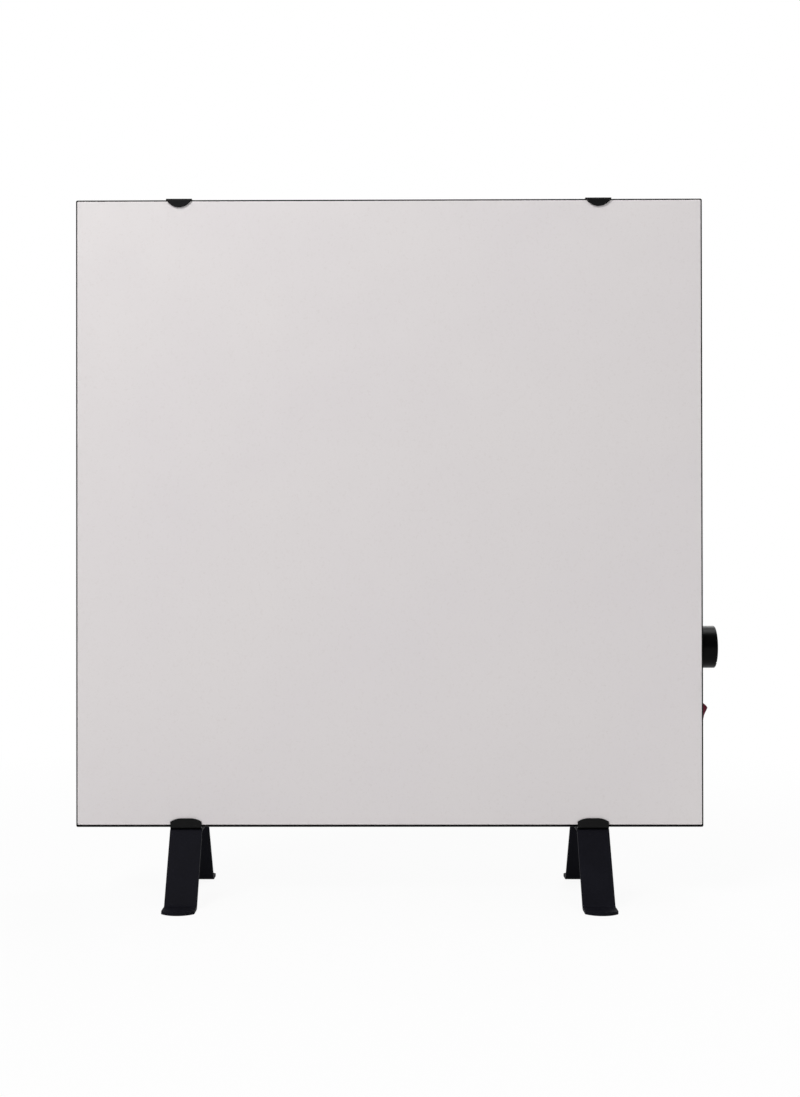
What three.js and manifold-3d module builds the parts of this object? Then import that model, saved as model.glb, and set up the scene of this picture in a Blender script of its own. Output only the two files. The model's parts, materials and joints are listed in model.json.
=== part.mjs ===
import * as THREE from 'three';
import { mergeVertices } from 'three/addons/utils/BufferGeometryUtils.js';
import Module from 'manifold-3d';

const wasm = await Module();
wasm.setup();

// Free-standing ceramic panel heater: a square tile in a thin steel casing, on two bent strip feet.
// Millimetres and degrees. X runs along the panel, Y from its front to its back, Z up from the floor.

// Shared clearances and facet counts
const seatGap = 0.3;          // between a piece and what carries it
const contactGap = 0.05;      // between flat faces of the base and the panel
const runningGap = 0.2;       // round a turning shaft
const cutOverrun = 1;         // how far a cut passes the face that it opens
const roundSides = 24;
const smallSides = 8;
const cornerSteps = 3;        // facets of a quarter round

// Ceramic tile
const tileWidth = 600;
const tileHeight = 600;
const tileThickness = 10;
const tileCornerRadius = 2;
const tileBevel = 0.8;

// Steel casing: a deep rim with a seat ledge and a rear flange
const rimSideGap = 0.3;       // from the tile's side to the rim
const rimTopGap = 0.4;
const rimBottomGap = 1.2;     // the tile is fixed a little high
const rimSetback = 0.6;       // the rim's front edge behind the tile's face
const casingSheet = 1;
const casingCornerRadius = 3;
const ledgeWidth = 14;
const rearFlangeWidth = 18;
const gasketThickness = 2;
const gasketWidth = 10;

// Heated field behind the tile
const bayWidth = 97;          // control bay between the field and the right wall
const trayInset = 18.5;       // from the other walls to the field
const cableDiameter = 2.4;
const cableRuns = 14;
const cableInset = 10;
const cableLeadOut = 24;      // cold ends past the field, into the bay
const cableTurnSteps = 6;
const matThickness = 0.8;
const reflectorThickness = 0.6;
const insulationThickness = 12;
const packGap = 0.5;          // sheets inside the tray
const traySheet = 1;
const trayFlangeWidth = 10;

// Louvred back cover
const coverSheet = 1.2;
const coverInset = 5;
const coverCornerRadius = 6;
const louvreLength = 70;
const louvreWidth = 5;
const louvreColumns = 5;
const louvreRows = 4;
const louvrePitchX = 100;
const louvrePitchZ = 14;
const louvreBankHeight = 205; // from the panel's middle to the middle of a bank

// Edge clips over the tile
const clipSheet = 1.2;
const topClipInset = 99.5;    // from the casing's side to the clip's middle
const topClipWidth = 24.9;
const topClipDrop = 7.15;     // lip below the casing's top
const rivetMargin = 11;       // from the rivet to the plate's end
const bottomClipWidth = 29.9;
const bottomClipRise = 8.6;   // lip above the casing's underside
const bottomClipFlat = 8;     // the lip's level top edge
const bottomClipShoulder = 3.2; // how far its round ends fall
const bottomClipInset = 3;    // the plate's end before the casing's back
const rivetShankRadius = 1.8;
const rivetHeadRadius = 3.6;
const rivetHeadHeight = 0.6;

// Feet: one bent steel strip each
const floorClearance = 70.5;  // from the floor to the casing's underside
const footInset = 105.8;      // from the casing's side to the foot's middle
const footWidth = 30.7;
const footSheet = 3;
const footBendRadius = 5;
const footBendSteps = 5;
const bridgeInset = 2;        // the bridge's front corner behind the tile's face
const bridgeBackInset = 0.5;  // its rear corner before the casing's back
const frontLegSpread = 42;
const rearLegSpread = 46;
const frontToeLength = 27;
const rearToeLength = 26;
const toeBulge = 8;           // rise of the toe's round end
const toeArcSteps = 10;

// Screws and nuts
const footScrew = { headRadius: 4.6, headHeight: 2.8, shankRadius: 2.5, shankLength: 11 };
const coverScrew = { headRadius: 3.6, headHeight: 2, shankRadius: 1.7, shankLength: 7 };
const thermostatScrew = { headRadius: 3.5, headHeight: 1.8, shankRadius: 1.9, shankLength: 7 };
const trayScrew = { headRadius: 2.8, headHeight: 1.6, shankRadius: 1.4 };
const trayScrewGrip = 3;      // past the tray into the wool
const footNutWall = 2.1;
const footNutHeight = 4;
const fastenerMargin = 3;     // from a nut or rivet to the ledge or flange beside it

// Thermostat and its knob, on the right wall
const controlMargin = 1;      // from the thermostat to the ledge
const controlBackMargin = 18; // from the thermostat to the rear flange
const knobHeight = 171.5;     // above the casing's underside
const knobRadius = 20.5;
const knobReach = 16.4;       // from the wall to the crown
const knobWallGap = 1;
const knobSkirtWall = 2.2;
const knobCrownWall = 3.4;
const knobEdgeRadius = 1;
const knobDome = 1.6;
const knobHubRadius = 6.5;
const knobHubRecess = 1.4;
const knobPointerWidth = 1.6;
const knobPointerDepth = 0.7;
const knobPointerStart = 9;
const knobPointerAngle = 225; // turned clockwise from upright, seen from the right
const thermostatDepth = 24;
const thermostatWidth = 22;
const thermostatHeight = 42;
const thermostatCornerRadius = 3;
const neckRadius = 4.6;
const neckReach = 0.8;        // past the wall
const shaftRadius = 3;
const shaftFlat = 2.2;        // from the shaft's axis to its flat
const shaftSocket = 8;        // inside the body
const shaftReach = 10.5;      // past the wall
const thermostatScrewOffset = 12;
const bladeLength = 7;
const bladeWidth = 5;
const bladeThickness = 0.8;
const thermostatBladeOffset = 8;
const capillaryRadius = 1;
const bulbRadius = 3;
const bulbLength = 60;
const bulbEndShare = -0.35;   // the bulb's near end, as a share of the bay's width past the field
const bulbHeight = 190;       // above the casing's underside
const capillaryInset = 3;     // below the thermostat's upper end

// Rocker switch below the knob
const switchHeight = 107.1;
const bezelSideMargin = 1;
const bezelEndMargin = 0.9;
const bezelLip = 2;
const bezelCornerRadius = 1.2;
const switchSideWall = 1.3;
const switchEndWall = 0.8;
const switchFloor = 8;
const switchBladeOffset = 4.5;
const rockerWidth = 9.6;
const rockerTilt = 14.5;
const rockerPivotDepth = 1.6;
const rockerRadius = 11.3;    // from the pivot to the rocker's round ends
const rockerEndRise = 6.6;    // above the wall, with the rocker level
const rockerMiddleRise = 5.1;
const rockerSkirtAngle = 92;  // from the rocker's middle to the end of its skirt
const rockerStemDepth = 6;
const rockerStemHalfWidth = 1.8;
const rockerShoulderDepth = 2.2;
const rockerShoulderHalfWidth = 3.2;
const rockerPinRadius = 1.1;
const rockerPinReach = 0.9;   // into each side wall
const rockerSideGap = 0.4;
const rockerEndGap = 0.35;
const rockerFloorGap = 3;

// Cable gland in the back cover
const glandInsetX = 48;       // from the casing's right side
const glandHeight = 41;       // above the casing's underside
const glandBoreRadius = 4;
const glandThreadRadius = 7.8;
const glandThreadLength = 9;
const glandFlangeWidth = 3.2; // past the thread, on flange and lock nut
const glandFlangeHeight = 4;
const glandDomeWall = 5;
const glandNoseWall = 2.5;
const glandReach = 13;
const glandNutHeight = 4;

// Terminal block, thermal cut-out and earth screw, on the tray's back
const blockHeight = 53;       // its middle above the casing's underside
const blockInset = 29.5;      // its middle from the field's right edge
const blockWidth = 34;
const blockRise = 16;
const blockDepth = 14;
const poleSpacing = 10;
const poleBoreRadius = 2;
const cutoutHeight = 253;
const cutoutInset = 34.5;
const cutoutRadius = 8;
const cutoutDepth = 9;
const cutoutFlangeWidth = 12;
const cutoutFlangeSheet = 0.8;
const cutoutScrewMargin = 1.2; // from the cap to a screw's head
const cutoutBladeInset = 3;   // below the cut-out's cap
const earthHeight = 77;
const earthInset = 79.5;
const lugRadius = 4.2;
const lugThickness = 0.8;

// Wires inside the control bay
const wireRadius = 1.2;
const wireSides = 6;
const wireStub = 8;           // straight length at each end
const wireSteps = 20;
const longWireSteps = 34;

// Derived places
const half = (value) => value / 2;
const casingWidth = tileWidth + 2 * (rimSideGap + casingSheet);
const casingHeight = tileHeight + rimTopGap + rimBottomGap + 2 * casingSheet;
const tileRise = half(rimBottomGap - rimTopGap);
const outerX = half(casingWidth);
const outerZ = half(casingHeight);
const innerX = outerX - casingSheet;
const innerZ = outerZ - casingSheet;
const ledgeFront = tileThickness + gasketThickness;
const ledgeBack = ledgeFront + casingSheet;
const controlsInset = ledgeBack + controlMargin + half(thermostatWidth);
const casingDepth = controlsInset + half(thermostatWidth) + controlBackMargin + casingSheet;
const topClipX = outerX - topClipInset;
const rivetInset = ledgeBack + rivetHeadRadius + fastenerMargin;
const topClipDepth = rivetInset + rivetMargin;
const bottomClipDepth = casingDepth - bottomClipInset;
const footNutRadius = footScrew.shankRadius + footNutWall;
const footX = outerX - footInset;
const footScrewInsets = {
  front: ledgeBack + fastenerMargin + footNutRadius,
  rear: casingDepth - casingSheet - fastenerMargin - footNutRadius,
};
const cableY = tileThickness + seatGap + half(cableDiameter);
const matFront = Math.max(cableY + half(cableDiameter) + seatGap, ledgeBack);
const reflectorFront = matFront + matThickness;
const insulationFront = reflectorFront + reflectorThickness;
const trayBackFront = insulationFront + insulationThickness;
const trayBack = trayBackFront + traySheet;
const fieldLeft = trayInset - innerX;
const fieldRight = innerX - bayWidth;
const fieldTop = innerZ - trayInset;
const coverBack = casingDepth + coverSheet;
const coverScrewX = innerX - half(rearFlangeWidth);
const coverScrewZ = innerZ - half(rearFlangeWidth);
const panelMiddle = floorClearance + outerZ;
const overUnderside = (height) => height - outerZ;
const knobZ = overUnderside(knobHeight);
const switchZ = overUnderside(switchHeight);
const glandX = outerX - glandInsetX;
const glandZ = overUnderside(glandHeight);
const blockX = fieldRight - blockInset;
const blockZ = overUnderside(blockHeight);
const cutoutX = fieldRight - cutoutInset;
const cutoutZ = overUnderside(cutoutHeight);
const earthX = fieldRight - earthInset;
const earthZ = overUnderside(earthHeight);
const bridgeTop = floorClearance - clipSheet - contactGap;
const bridgeBack = casingDepth - bridgeBackInset;
const frontTipY = bridgeInset - frontLegSpread - frontToeLength;
const rearTipY = bridgeBack + rearLegSpread + rearToeLength;
const lipFace = seatGap + clipSheet;
const sides = { left: -1, right: 1 };
const degrees = THREE.MathUtils.degToRad;
const switchCavityHeight = 2 * (rockerRadius + rockerEndGap);
const switchCavityWidth = rockerWidth + 2 * rockerSideGap;
const switchCavityDepth = rockerStemDepth + rockerFloorGap;
const switchBodyHeight = switchCavityHeight + 2 * switchEndWall;
const switchWidth = switchCavityWidth + 2 * switchSideWall;
const switchDepth = switchCavityDepth + switchFloor;
const bezelHeight = switchBodyHeight + 2 * bezelEndMargin;
const bezelWidth = switchWidth + 2 * bezelSideMargin;
const glandFlangeRadius = glandThreadRadius + glandFlangeWidth;
const cutoutScrewOffset = cutoutRadius + cutoutScrewMargin + trayScrew.headRadius;
const cutoutFlangeLength = 2 * (cutoutScrewOffset + trayScrew.headRadius + cutoutScrewMargin);

// Materials
function finish(color, roughness, metalness = 0) {
  return new THREE.MeshStandardMaterial({ color, roughness, metalness });
}

const glazedCeramic = finish(0xd9d4d2, 0.35);
const blackPaint = finish(0x1c1c1f, 0.5);
const footPaint = finish(0x1e1e23, 0.45);
const galvanised = finish(0xa9acae, 0.4, 0.9);
const zincScrew = finish(0xb8b8b4, 0.35, 0.9);
const blackScrew = finish(0x141415, 0.4, 0.6);
const brightFoil = finish(0xd6d8da, 0.25, 1);
const mineralWool = finish(0xb9a45e, 0.95);
const micaSheet = finish(0xa59880, 0.7);
const sealFelt = finish(0x2a2a2a, 0.9);
const blackPlastic = finish(0x0d0d0e, 0.4);
const redPlastic = finish(0x8a1626, 0.3);
const bakelite = finish(0x2b2220, 0.5);
const steatite = finish(0xe6e0d2, 0.6);
const heatingCable = finish(0x6f1d1a, 0.6);
const liveSleeve = finish(0x5b3a22, 0.5);
const neutralSleeve = finish(0x2a4c8c, 0.5);
const earthSleeve = finish(0x6a8f2a, 0.5);

// Outlines
function arc(x, y, radius, from, to, steps) {
  return Array.from({ length: steps + 1 }, (_, step) => {
    const angle = degrees(from + ((to - from) * step) / steps);
    return new THREE.Vector2(x + radius * Math.cos(angle), y + radius * Math.sin(angle));
  });
}

function circle(x, y, radius, count = smallSides) {
  return arc(x, y, radius, 0, 360, count).slice(0, count);
}

function box(left, right, bottom, top) {
  const corners = [[left, bottom], [right, bottom], [right, top], [left, top]];
  return corners.map(([x, y]) => new THREE.Vector2(x, y));
}

function centredBox(x, y, width, height) {
  return box(x - half(width), x + half(width), y - half(height), y + half(height));
}

function roundedBox(x, y, width, height, radius) {
  const right = x + half(width) - radius;
  const left = x - half(width) + radius;
  const top = y + half(height) - radius;
  const bottom = y - half(height) + radius;
  return [
    ...arc(right, bottom, radius, -90, 0, cornerSteps),
    ...arc(right, top, radius, 0, 90, cornerSteps),
    ...arc(left, top, radius, 90, 180, cornerSteps),
    ...arc(left, bottom, radius, 180, 270, cornerSteps),
  ];
}

function slot(x, y, length, width) {
  const radius = half(width);
  const reach = half(length) - radius;
  return [
    ...arc(x + reach, y, radius, -90, 90, cornerSteps),
    ...arc(x - reach, y, radius, 90, 270, cornerSteps),
  ];
}

function shaftOutline(y, z, radius, flat) {
  const open = THREE.MathUtils.radToDeg(Math.acos(flat / radius));
  return arc(y, z, radius, open, 360 - open, roundSides);
}

// Solids
function solid(geometry) {
  geometry.deleteAttribute('normal');
  geometry.deleteAttribute('uv');
  const merged = mergeVertices(geometry);
  const positions = merged.getAttribute('position').array;
  const indices = merged.getIndex().array;
  const triangles = [];
  for (let start = 0; start < indices.length; start += 3) {
    const [a, b, c] = indices.slice(start, start + 3);
    if (a !== b && b !== c && c !== a) triangles.push(a, b, c);
  }
  if (enclosedVolume(positions, triangles) < 0) triangles.reverse();
  return new wasm.Manifold(new wasm.Mesh({
    numProp: 3,
    vertProperties: new Float32Array(positions),
    triVerts: new Uint32Array(triangles),
  }));
}

function enclosedVolume(positions, triangles) {
  const corner = (index) => new THREE.Vector3().fromArray(positions, 3 * index);
  let total = 0;
  for (let start = 0; start < triangles.length; start += 3) {
    const [a, b, c] = triangles.slice(start, start + 3).map(corner);
    total += a.dot(b.cross(c)) / 6;
  }
  return total;
}

const alongX = new THREE.Vector3(1, 0, 0);
const alongY = new THREE.Vector3(0, 1, 0);
const alongZ = new THREE.Vector3(0, 0, 1);

function extruded(outline, holes, depth) {
  const shape = new THREE.Shape(outline);
  shape.holes = holes.map((points) => new THREE.Path(points));
  return new THREE.ExtrudeGeometry(shape, { depth, bevelEnabled: false, steps: 1 });
}

// An outline in (Y, Z) drawn out along X
function slabX(outline, from, to, holes = []) {
  const geometry = extruded(outline, holes, to - from);
  geometry.applyMatrix4(new THREE.Matrix4().makeBasis(alongY, alongZ, alongX));
  return solid(geometry.translate(from, 0, 0));
}

// An outline in (X, Z) drawn out along Y
function slabY(outline, from, to, holes = []) {
  const geometry = extruded(outline, holes, to - from);
  geometry.applyMatrix4(new THREE.Matrix4().makeBasis(alongX, alongZ, alongY.clone().negate()));
  return solid(geometry.translate(0, to, 0));
}

// An outline in (X, Y) drawn out along Z
function slabZ(outline, from, to, holes = []) {
  return solid(extruded(outline, holes, to - from).translate(0, 0, from));
}

// A profile of [radius, height] pairs turned about an axis through a point
function turned(profile, axis, point, count = smallSides) {
  const points = profile.map(([radius, height]) => new THREE.Vector2(radius, height));
  const geometry = new THREE.LatheGeometry(points, count);
  const turn = new THREE.Quaternion().setFromUnitVectors(alongY, axis);
  geometry.applyQuaternion(turn);
  return solid(geometry.translate(point.x, point.y, point.z));
}

function joined(first, ...others) {
  return others.reduce((whole, next) => whole.add(next), first);
}

function cutBy(first, cutters) {
  return cutters.reduce((whole, next) => whole.subtract(next), first);
}

// A route with one section at each of its points
class Route extends THREE.Curve {
  constructor(points) {
    super();
    this.points = points;
  }

  getPoint(share, target = new THREE.Vector3()) {
    const place = share * (this.points.length - 1);
    const index = Math.min(Math.floor(place), this.points.length - 2);
    return target.copy(this.points[index]).lerp(this.points[index + 1], place - index);
  }

  getPointAt(share, target) {
    return this.getPoint(share, target);
  }

  getTangentAt(share, target = new THREE.Vector3()) {
    const index = Math.round(share * (this.points.length - 1));
    const before = this.points[Math.max(index - 1, 0)];
    const after = this.points[Math.min(index + 1, this.points.length - 1)];
    return target.copy(after).sub(before).normalize();
  }
}

function tube(points, radius, count) {
  const section = new THREE.Shape(circle(0, 0, radius, count));
  const extrudePath = new Route(points);
  return solid(new THREE.ExtrudeGeometry(section, { steps: points.length - 1, extrudePath }));
}

// Scene graph
const heater = new THREE.Group();
const base = new THREE.Group();
const panel = new THREE.Group();
base.position.set(-half(knobReach), -half(frontTipY + rearTipY), 0);
panel.position.set(0, 0, panelMiddle);
base.add(panel);
heater.add(base);

function place(parent, name, body, material) {
  const { vertProperties, triVerts } = body.getMesh();
  const geometry = new THREE.BufferGeometry();
  geometry.setAttribute('position', new THREE.BufferAttribute(vertProperties, 3));
  geometry.setIndex(new THREE.BufferAttribute(triVerts, 1));
  geometry.computeVertexNormals();
  const mesh = new THREE.Mesh(geometry, material);
  mesh.name = name;
  parent.add(mesh);
  return mesh;
}

function screwProfile({ headRadius, headHeight, shankRadius, shankLength }) {
  const crownRadius = headRadius - half(headHeight);
  return [
    [0, -shankLength],
    [shankRadius, -shankLength],
    [shankRadius, 0],
    [headRadius, 0],
    [headRadius, half(headHeight)],
    [crownRadius, headHeight],
    [0, headHeight],
  ];
}

const holeFor = (screw) => screw.shankRadius + seatGap;
const at = (x, y, z) => new THREE.Vector3(x, y, z);

// Tile, its bevelled face to the front, on a felt seal
function makeTile() {
  const outline = roundedBox(0, tileRise, tileWidth, tileHeight, tileCornerRadius);
  const geometry = new THREE.ExtrudeGeometry(new THREE.Shape(outline), {
    depth: tileThickness - 2 * tileBevel,
    bevelThickness: tileBevel,
    bevelSize: tileBevel,
    bevelOffset: -tileBevel,
    bevelSegments: 1,
  });
  geometry.applyMatrix4(new THREE.Matrix4().makeBasis(alongX, alongZ, alongY.clone().negate()));
  place(panel, 'ceramic_tile', solid(geometry.translate(0, tileThickness - tileBevel, 0)), glazedCeramic);

  const sealWidth = tileWidth - 2 * tileBevel;
  const sealHeight = tileHeight - 2 * tileBevel;
  const opening = centredBox(0, 0, sealWidth - 2 * gasketWidth, sealHeight - 2 * gasketWidth);
  const seal = slabY(centredBox(0, 0, sealWidth, sealHeight), tileThickness, ledgeFront, [opening]);
  place(panel, 'tile_gasket', seal, sealFelt);
}

// Casing: rim, ledge and rear flange in one folded sheet, with its screw, rivet and control holes
function makeCasing() {
  const outside = roundedBox(0, 0, casingWidth, casingHeight, casingCornerRadius);
  const insideRadius = casingCornerRadius - casingSheet;
  const inside = roundedBox(0, 0, 2 * innerX, 2 * innerZ, insideRadius);
  const ledgeOpening = centredBox(0, 0, 2 * (innerX - ledgeWidth), 2 * (innerZ - ledgeWidth));
  const flangeOpening = centredBox(0, 0, 2 * (innerX - rearFlangeWidth), 2 * (innerZ - rearFlangeWidth));
  const shell = joined(
    slabY(outside, rimSetback, casingDepth, [inside]),
    slabY(outside, ledgeFront, ledgeBack, [ledgeOpening]),
    slabY(outside, casingDepth - casingSheet, casingDepth, [flangeOpening]),
  );
  const wallFrom = innerX - cutOverrun;
  const wallTo = outerX + cutOverrun;
  const cutters = [
    slabX(circle(controlsInset, knobZ, neckRadius + seatGap, roundSides), wallFrom, wallTo),
    slabX(
      centredBox(controlsInset, switchZ, switchWidth + 2 * seatGap, switchBodyHeight + 2 * seatGap),
      wallFrom,
      wallTo,
    ),
  ];
  for (const side of Object.values(sides)) {
    const z = knobZ + side * thermostatScrewOffset;
    cutters.push(slabX(circle(controlsInset, z, holeFor(thermostatScrew)), wallFrom, wallTo));
    const rivetHole = circle(side * topClipX, rivetInset, rivetShankRadius + seatGap);
    cutters.push(slabZ(rivetHole, innerZ - cutOverrun, outerZ + cutOverrun));
    for (const inset of Object.values(footScrewInsets)) {
      const footHole = circle(side * footX, inset, holeFor(footScrew));
      cutters.push(slabZ(footHole, -outerZ - cutOverrun, -innerZ + cutOverrun));
    }
  }
  for (const { x, z } of coverScrewPlaces()) {
    const hole = circle(x, z, holeFor(coverScrew));
    cutters.push(slabY(hole, casingDepth - casingSheet - cutOverrun, casingDepth + cutOverrun));
  }
  place(panel, 'casing', cutBy(shell, cutters), blackPaint);
}

function coverScrewPlaces() {
  const places = [];
  for (const across of [-1, 0, 1]) {
    for (const up of [-1, 0, 1]) {
      if (across !== 0 || up !== 0) places.push({ x: across * coverScrewX, z: up * coverScrewZ });
    }
  }
  return places;
}

// Heating cable in a serpentine, both cold ends at the control bay
function makeHeatingCable() {
  const top = fieldTop - cableInset;
  const pitch = (2 * top) / (cableRuns - 1);
  const radius = half(pitch);
  const leftTurn = fieldLeft + cableInset + radius;
  const rightTurn = fieldRight - cableInset - radius;
  const leadEnd = fieldRight + cableLeadOut;
  const points = [at(leadEnd, cableY, -top)];
  for (let run = 0; run < cableRuns - 1; run += 1) {
    const toLeft = run % 2 === 0;
    const middle = pitch * run - top + radius;
    const turn = toLeft
      ? arc(leftTurn, middle, radius, 270, 90, cableTurnSteps)
      : arc(rightTurn, middle, radius, -90, 90, cableTurnSteps);
    points.push(...turn.map(({ x, y }) => at(x, cableY, y)));
  }
  points.push(at(leadEnd, cableY, top));
  place(panel, 'heating_cable', tube(points, half(cableDiameter), 2 * cornerSteps), heatingCable);
  return [at(leadEnd + seatGap, cableY, -top), at(leadEnd + seatGap, cableY, top)];
}

// Screws that hold the block, the cut-out and the earth lug to the tray
function trayScrewPlaces() {
  const places = [];
  for (const side of Object.values(sides)) {
    const name = `terminal_block_screw_${places.length + 1}`;
    places.push({ name, x: blockX + side * half(poleSpacing), z: blockZ, seat: blockDepth });
  }
  for (const [name, side] of Object.entries(sides)) {
    const x = cutoutX + side * cutoutScrewOffset;
    places.push({ name: `cutout_screw_${name}`, x, z: cutoutZ, seat: cutoutFlangeSheet });
  }
  places.push({ name: 'earth_screw', x: earthX, z: earthZ, seat: lugThickness });
  return places;
}

// Tray that holds mat, reflector and wool against the cable
function makeHeatedField() {
  const fieldBox = (grown) =>
    box(fieldLeft - grown, fieldRight + grown, -fieldTop - grown, fieldTop + grown);
  const inner = fieldBox(0);
  const outer = fieldBox(traySheet);
  const flange = fieldBox(traySheet + trayFlangeWidth);
  const screwHoles = trayScrewPlaces().map(({ x, z }) => circle(x, z, holeFor(trayScrew)));
  const tray = joined(
    slabY(flange, ledgeBack, ledgeBack + traySheet, [inner]),
    slabY(outer, ledgeBack, trayBack, [inner]),
    slabY(outer, trayBackFront, trayBack, screwHoles),
  );
  place(panel, 'inner_tray', tray, galvanised);

  const sheet = box(fieldLeft + packGap, fieldRight - packGap, packGap - fieldTop, fieldTop - packGap);
  const mat = slabY(sheet, matFront, reflectorFront);
  const reflector = slabY(sheet, reflectorFront, insulationFront);
  const wells = trayScrewPlaces().map(({ x, z }) => {
    const well = circle(x, z, holeFor(trayScrew) + seatGap);
    return slabY(well, trayBackFront - trayScrewGrip - cutOverrun, trayBackFront + cutOverrun);
  });
  const wool = cutBy(slabY(sheet, insulationFront, trayBackFront), wells);
  place(panel, 'element_mat', mat, micaSheet);
  place(panel, 'reflector_sheet', reflector, brightFoil);
  place(panel, 'insulation_board', wool, mineralWool);
}

// Louvred cover, screwed to the rear flange
function makeBackCover() {
  const outline = roundedBox(
    0,
    0,
    casingWidth - 2 * coverInset,
    casingHeight - 2 * coverInset,
    coverCornerRadius,
  );
  const holes = [circle(glandX, glandZ, glandThreadRadius + seatGap, roundSides)];
  for (const { x, z } of coverScrewPlaces()) holes.push(circle(x, z, holeFor(coverScrew)));
  for (const bank of Object.values(sides)) {
    for (let row = 0; row < louvreRows; row += 1) {
      const z = bank * louvreBankHeight + (row - half(louvreRows - 1)) * louvrePitchZ;
      for (let column = 0; column < louvreColumns; column += 1) {
        const x = (column - half(louvreColumns - 1)) * louvrePitchX;
        holes.push(slot(x, z, louvreLength, louvreWidth));
      }
    }
  }
  const cutters = holes.map((hole) => slabY(hole, casingDepth - cutOverrun, coverBack + cutOverrun));
  place(panel, 'back_cover', cutBy(slabY(outline, casingDepth, coverBack), cutters), blackPaint);
  for (const [index, { x, z }] of coverScrewPlaces().entries()) {
    const screw = turned(screwProfile(coverScrew), alongY, at(x, coverBack, z));
    place(panel, `cover_screw_${index + 1}`, screw, blackScrew);
  }
}

// Top clips: a plate on the casing and a round lip over the tile, riveted
function makeTopClip(name, side) {
  const x = side * topClipX;
  const halfWidth = half(topClipWidth);
  const lipRadius = (halfWidth ** 2 + topClipDrop ** 2) / (2 * topClipDrop);
  const open = THREE.MathUtils.radToDeg(Math.asin(halfWidth / lipRadius));
  const lip = [
    ...arc(x, outerZ - topClipDrop + lipRadius, lipRadius, 270 - open, 270 + open, roundSides / 2),
    new THREE.Vector2(x + halfWidth, outerZ + clipSheet),
    new THREE.Vector2(x - halfWidth, outerZ + clipSheet),
  ];
  const rivetHole = circle(x, rivetInset, rivetShankRadius + seatGap);
  const plateOutline = box(x - halfWidth, x + halfWidth, -lipFace, topClipDepth);
  const clip = joined(
    slabZ(plateOutline, outerZ, outerZ + clipSheet, [rivetHole]),
    slabY(lip, -lipFace, -seatGap),
  );
  place(panel, `top_clip_${name}`, clip, blackPaint);

  const grip = clipSheet + casingSheet;
  const rivet = [
    [0, -grip - rivetHeadHeight],
    [rivetHeadRadius, -grip - rivetHeadHeight],
    [rivetHeadRadius, -grip],
    [rivetShankRadius, -grip],
    [rivetShankRadius, 0],
    [rivetHeadRadius, 0],
    [rivetHeadRadius - rivetHeadHeight, rivetHeadHeight],
    [0, rivetHeadHeight],
  ];
  const rivetSeat = at(x, rivetInset, outerZ + clipSheet);
  place(panel, `top_clip_rivet_${name}`, turned(rivet, alongZ, rivetSeat), blackScrew);
}

// Bottom clips: a plate between casing and foot, with a round-shouldered lip over the tile
function makeBottomClip(name, side) {
  const x = side * footX;
  const halfWidth = half(bottomClipWidth);
  const shoulderX = half(bottomClipFlat);
  const reach = halfWidth - shoulderX;
  const radius = (reach ** 2 + bottomClipShoulder ** 2) / (2 * bottomClipShoulder);
  const open = THREE.MathUtils.radToDeg(Math.asin(reach / radius));
  const shoulderZ = bottomClipRise - outerZ - radius;
  const under = -outerZ - clipSheet;
  const lip = [
    new THREE.Vector2(x - halfWidth, under),
    new THREE.Vector2(x + halfWidth, under),
    ...arc(x + shoulderX, shoulderZ, radius, 90 - open, 90, 2 * cornerSteps),
    ...arc(x - shoulderX, shoulderZ, radius, 90, 90 + open, 2 * cornerSteps),
  ];
  const holes = Object.values(footScrewInsets).map((inset) => circle(x, inset, holeFor(footScrew)));
  const plateOutline = box(x - halfWidth, x + halfWidth, -lipFace, bottomClipDepth);
  const clip = joined(slabZ(plateOutline, under, -outerZ, holes), slabY(lip, -lipFace, -seatGap));
  place(panel, `bottom_clip_${name}`, clip, blackPaint);
}

// The two faces of a strip bent along corner points, as one outline
function stripOutline(corners, bendRadius, thickness) {
  const stations = [];
  const normal = (direction) => new THREE.Vector2(-direction.y, direction.x);
  const direction = (from, to) => to.clone().sub(from).normalize();
  stations.push([corners[0], direction(corners[0], corners[1])]);
  for (let index = 1; index < corners.length - 1; index += 1) {
    const before = direction(corners[index - 1], corners[index]);
    const after = direction(corners[index], corners[index + 1]);
    const turn = Math.atan2(before.cross(after), before.dot(after));
    const hand = Math.sign(turn);
    const setback = bendRadius * Math.tan(Math.abs(turn) / 2);
    const start = corners[index].clone().addScaledVector(before, -setback);
    const centre = start.clone().addScaledVector(normal(before), hand * bendRadius);
    for (let step = 0; step <= footBendSteps; step += 1) {
      const heading = before.clone().rotateAround(new THREE.Vector2(), (turn * step) / footBendSteps);
      stations.push([centre.clone().addScaledVector(normal(heading), -hand * bendRadius), heading]);
    }
  }
  const last = corners.length - 1;
  stations.push([corners[last], direction(corners[last - 1], corners[last])]);
  const face = (hand) => stations.map(([point, heading]) =>
    point.clone().addScaledVector(normal(heading), (hand * thickness) / 2));
  return [...face(-1), ...face(1).reverse()];
}

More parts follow.
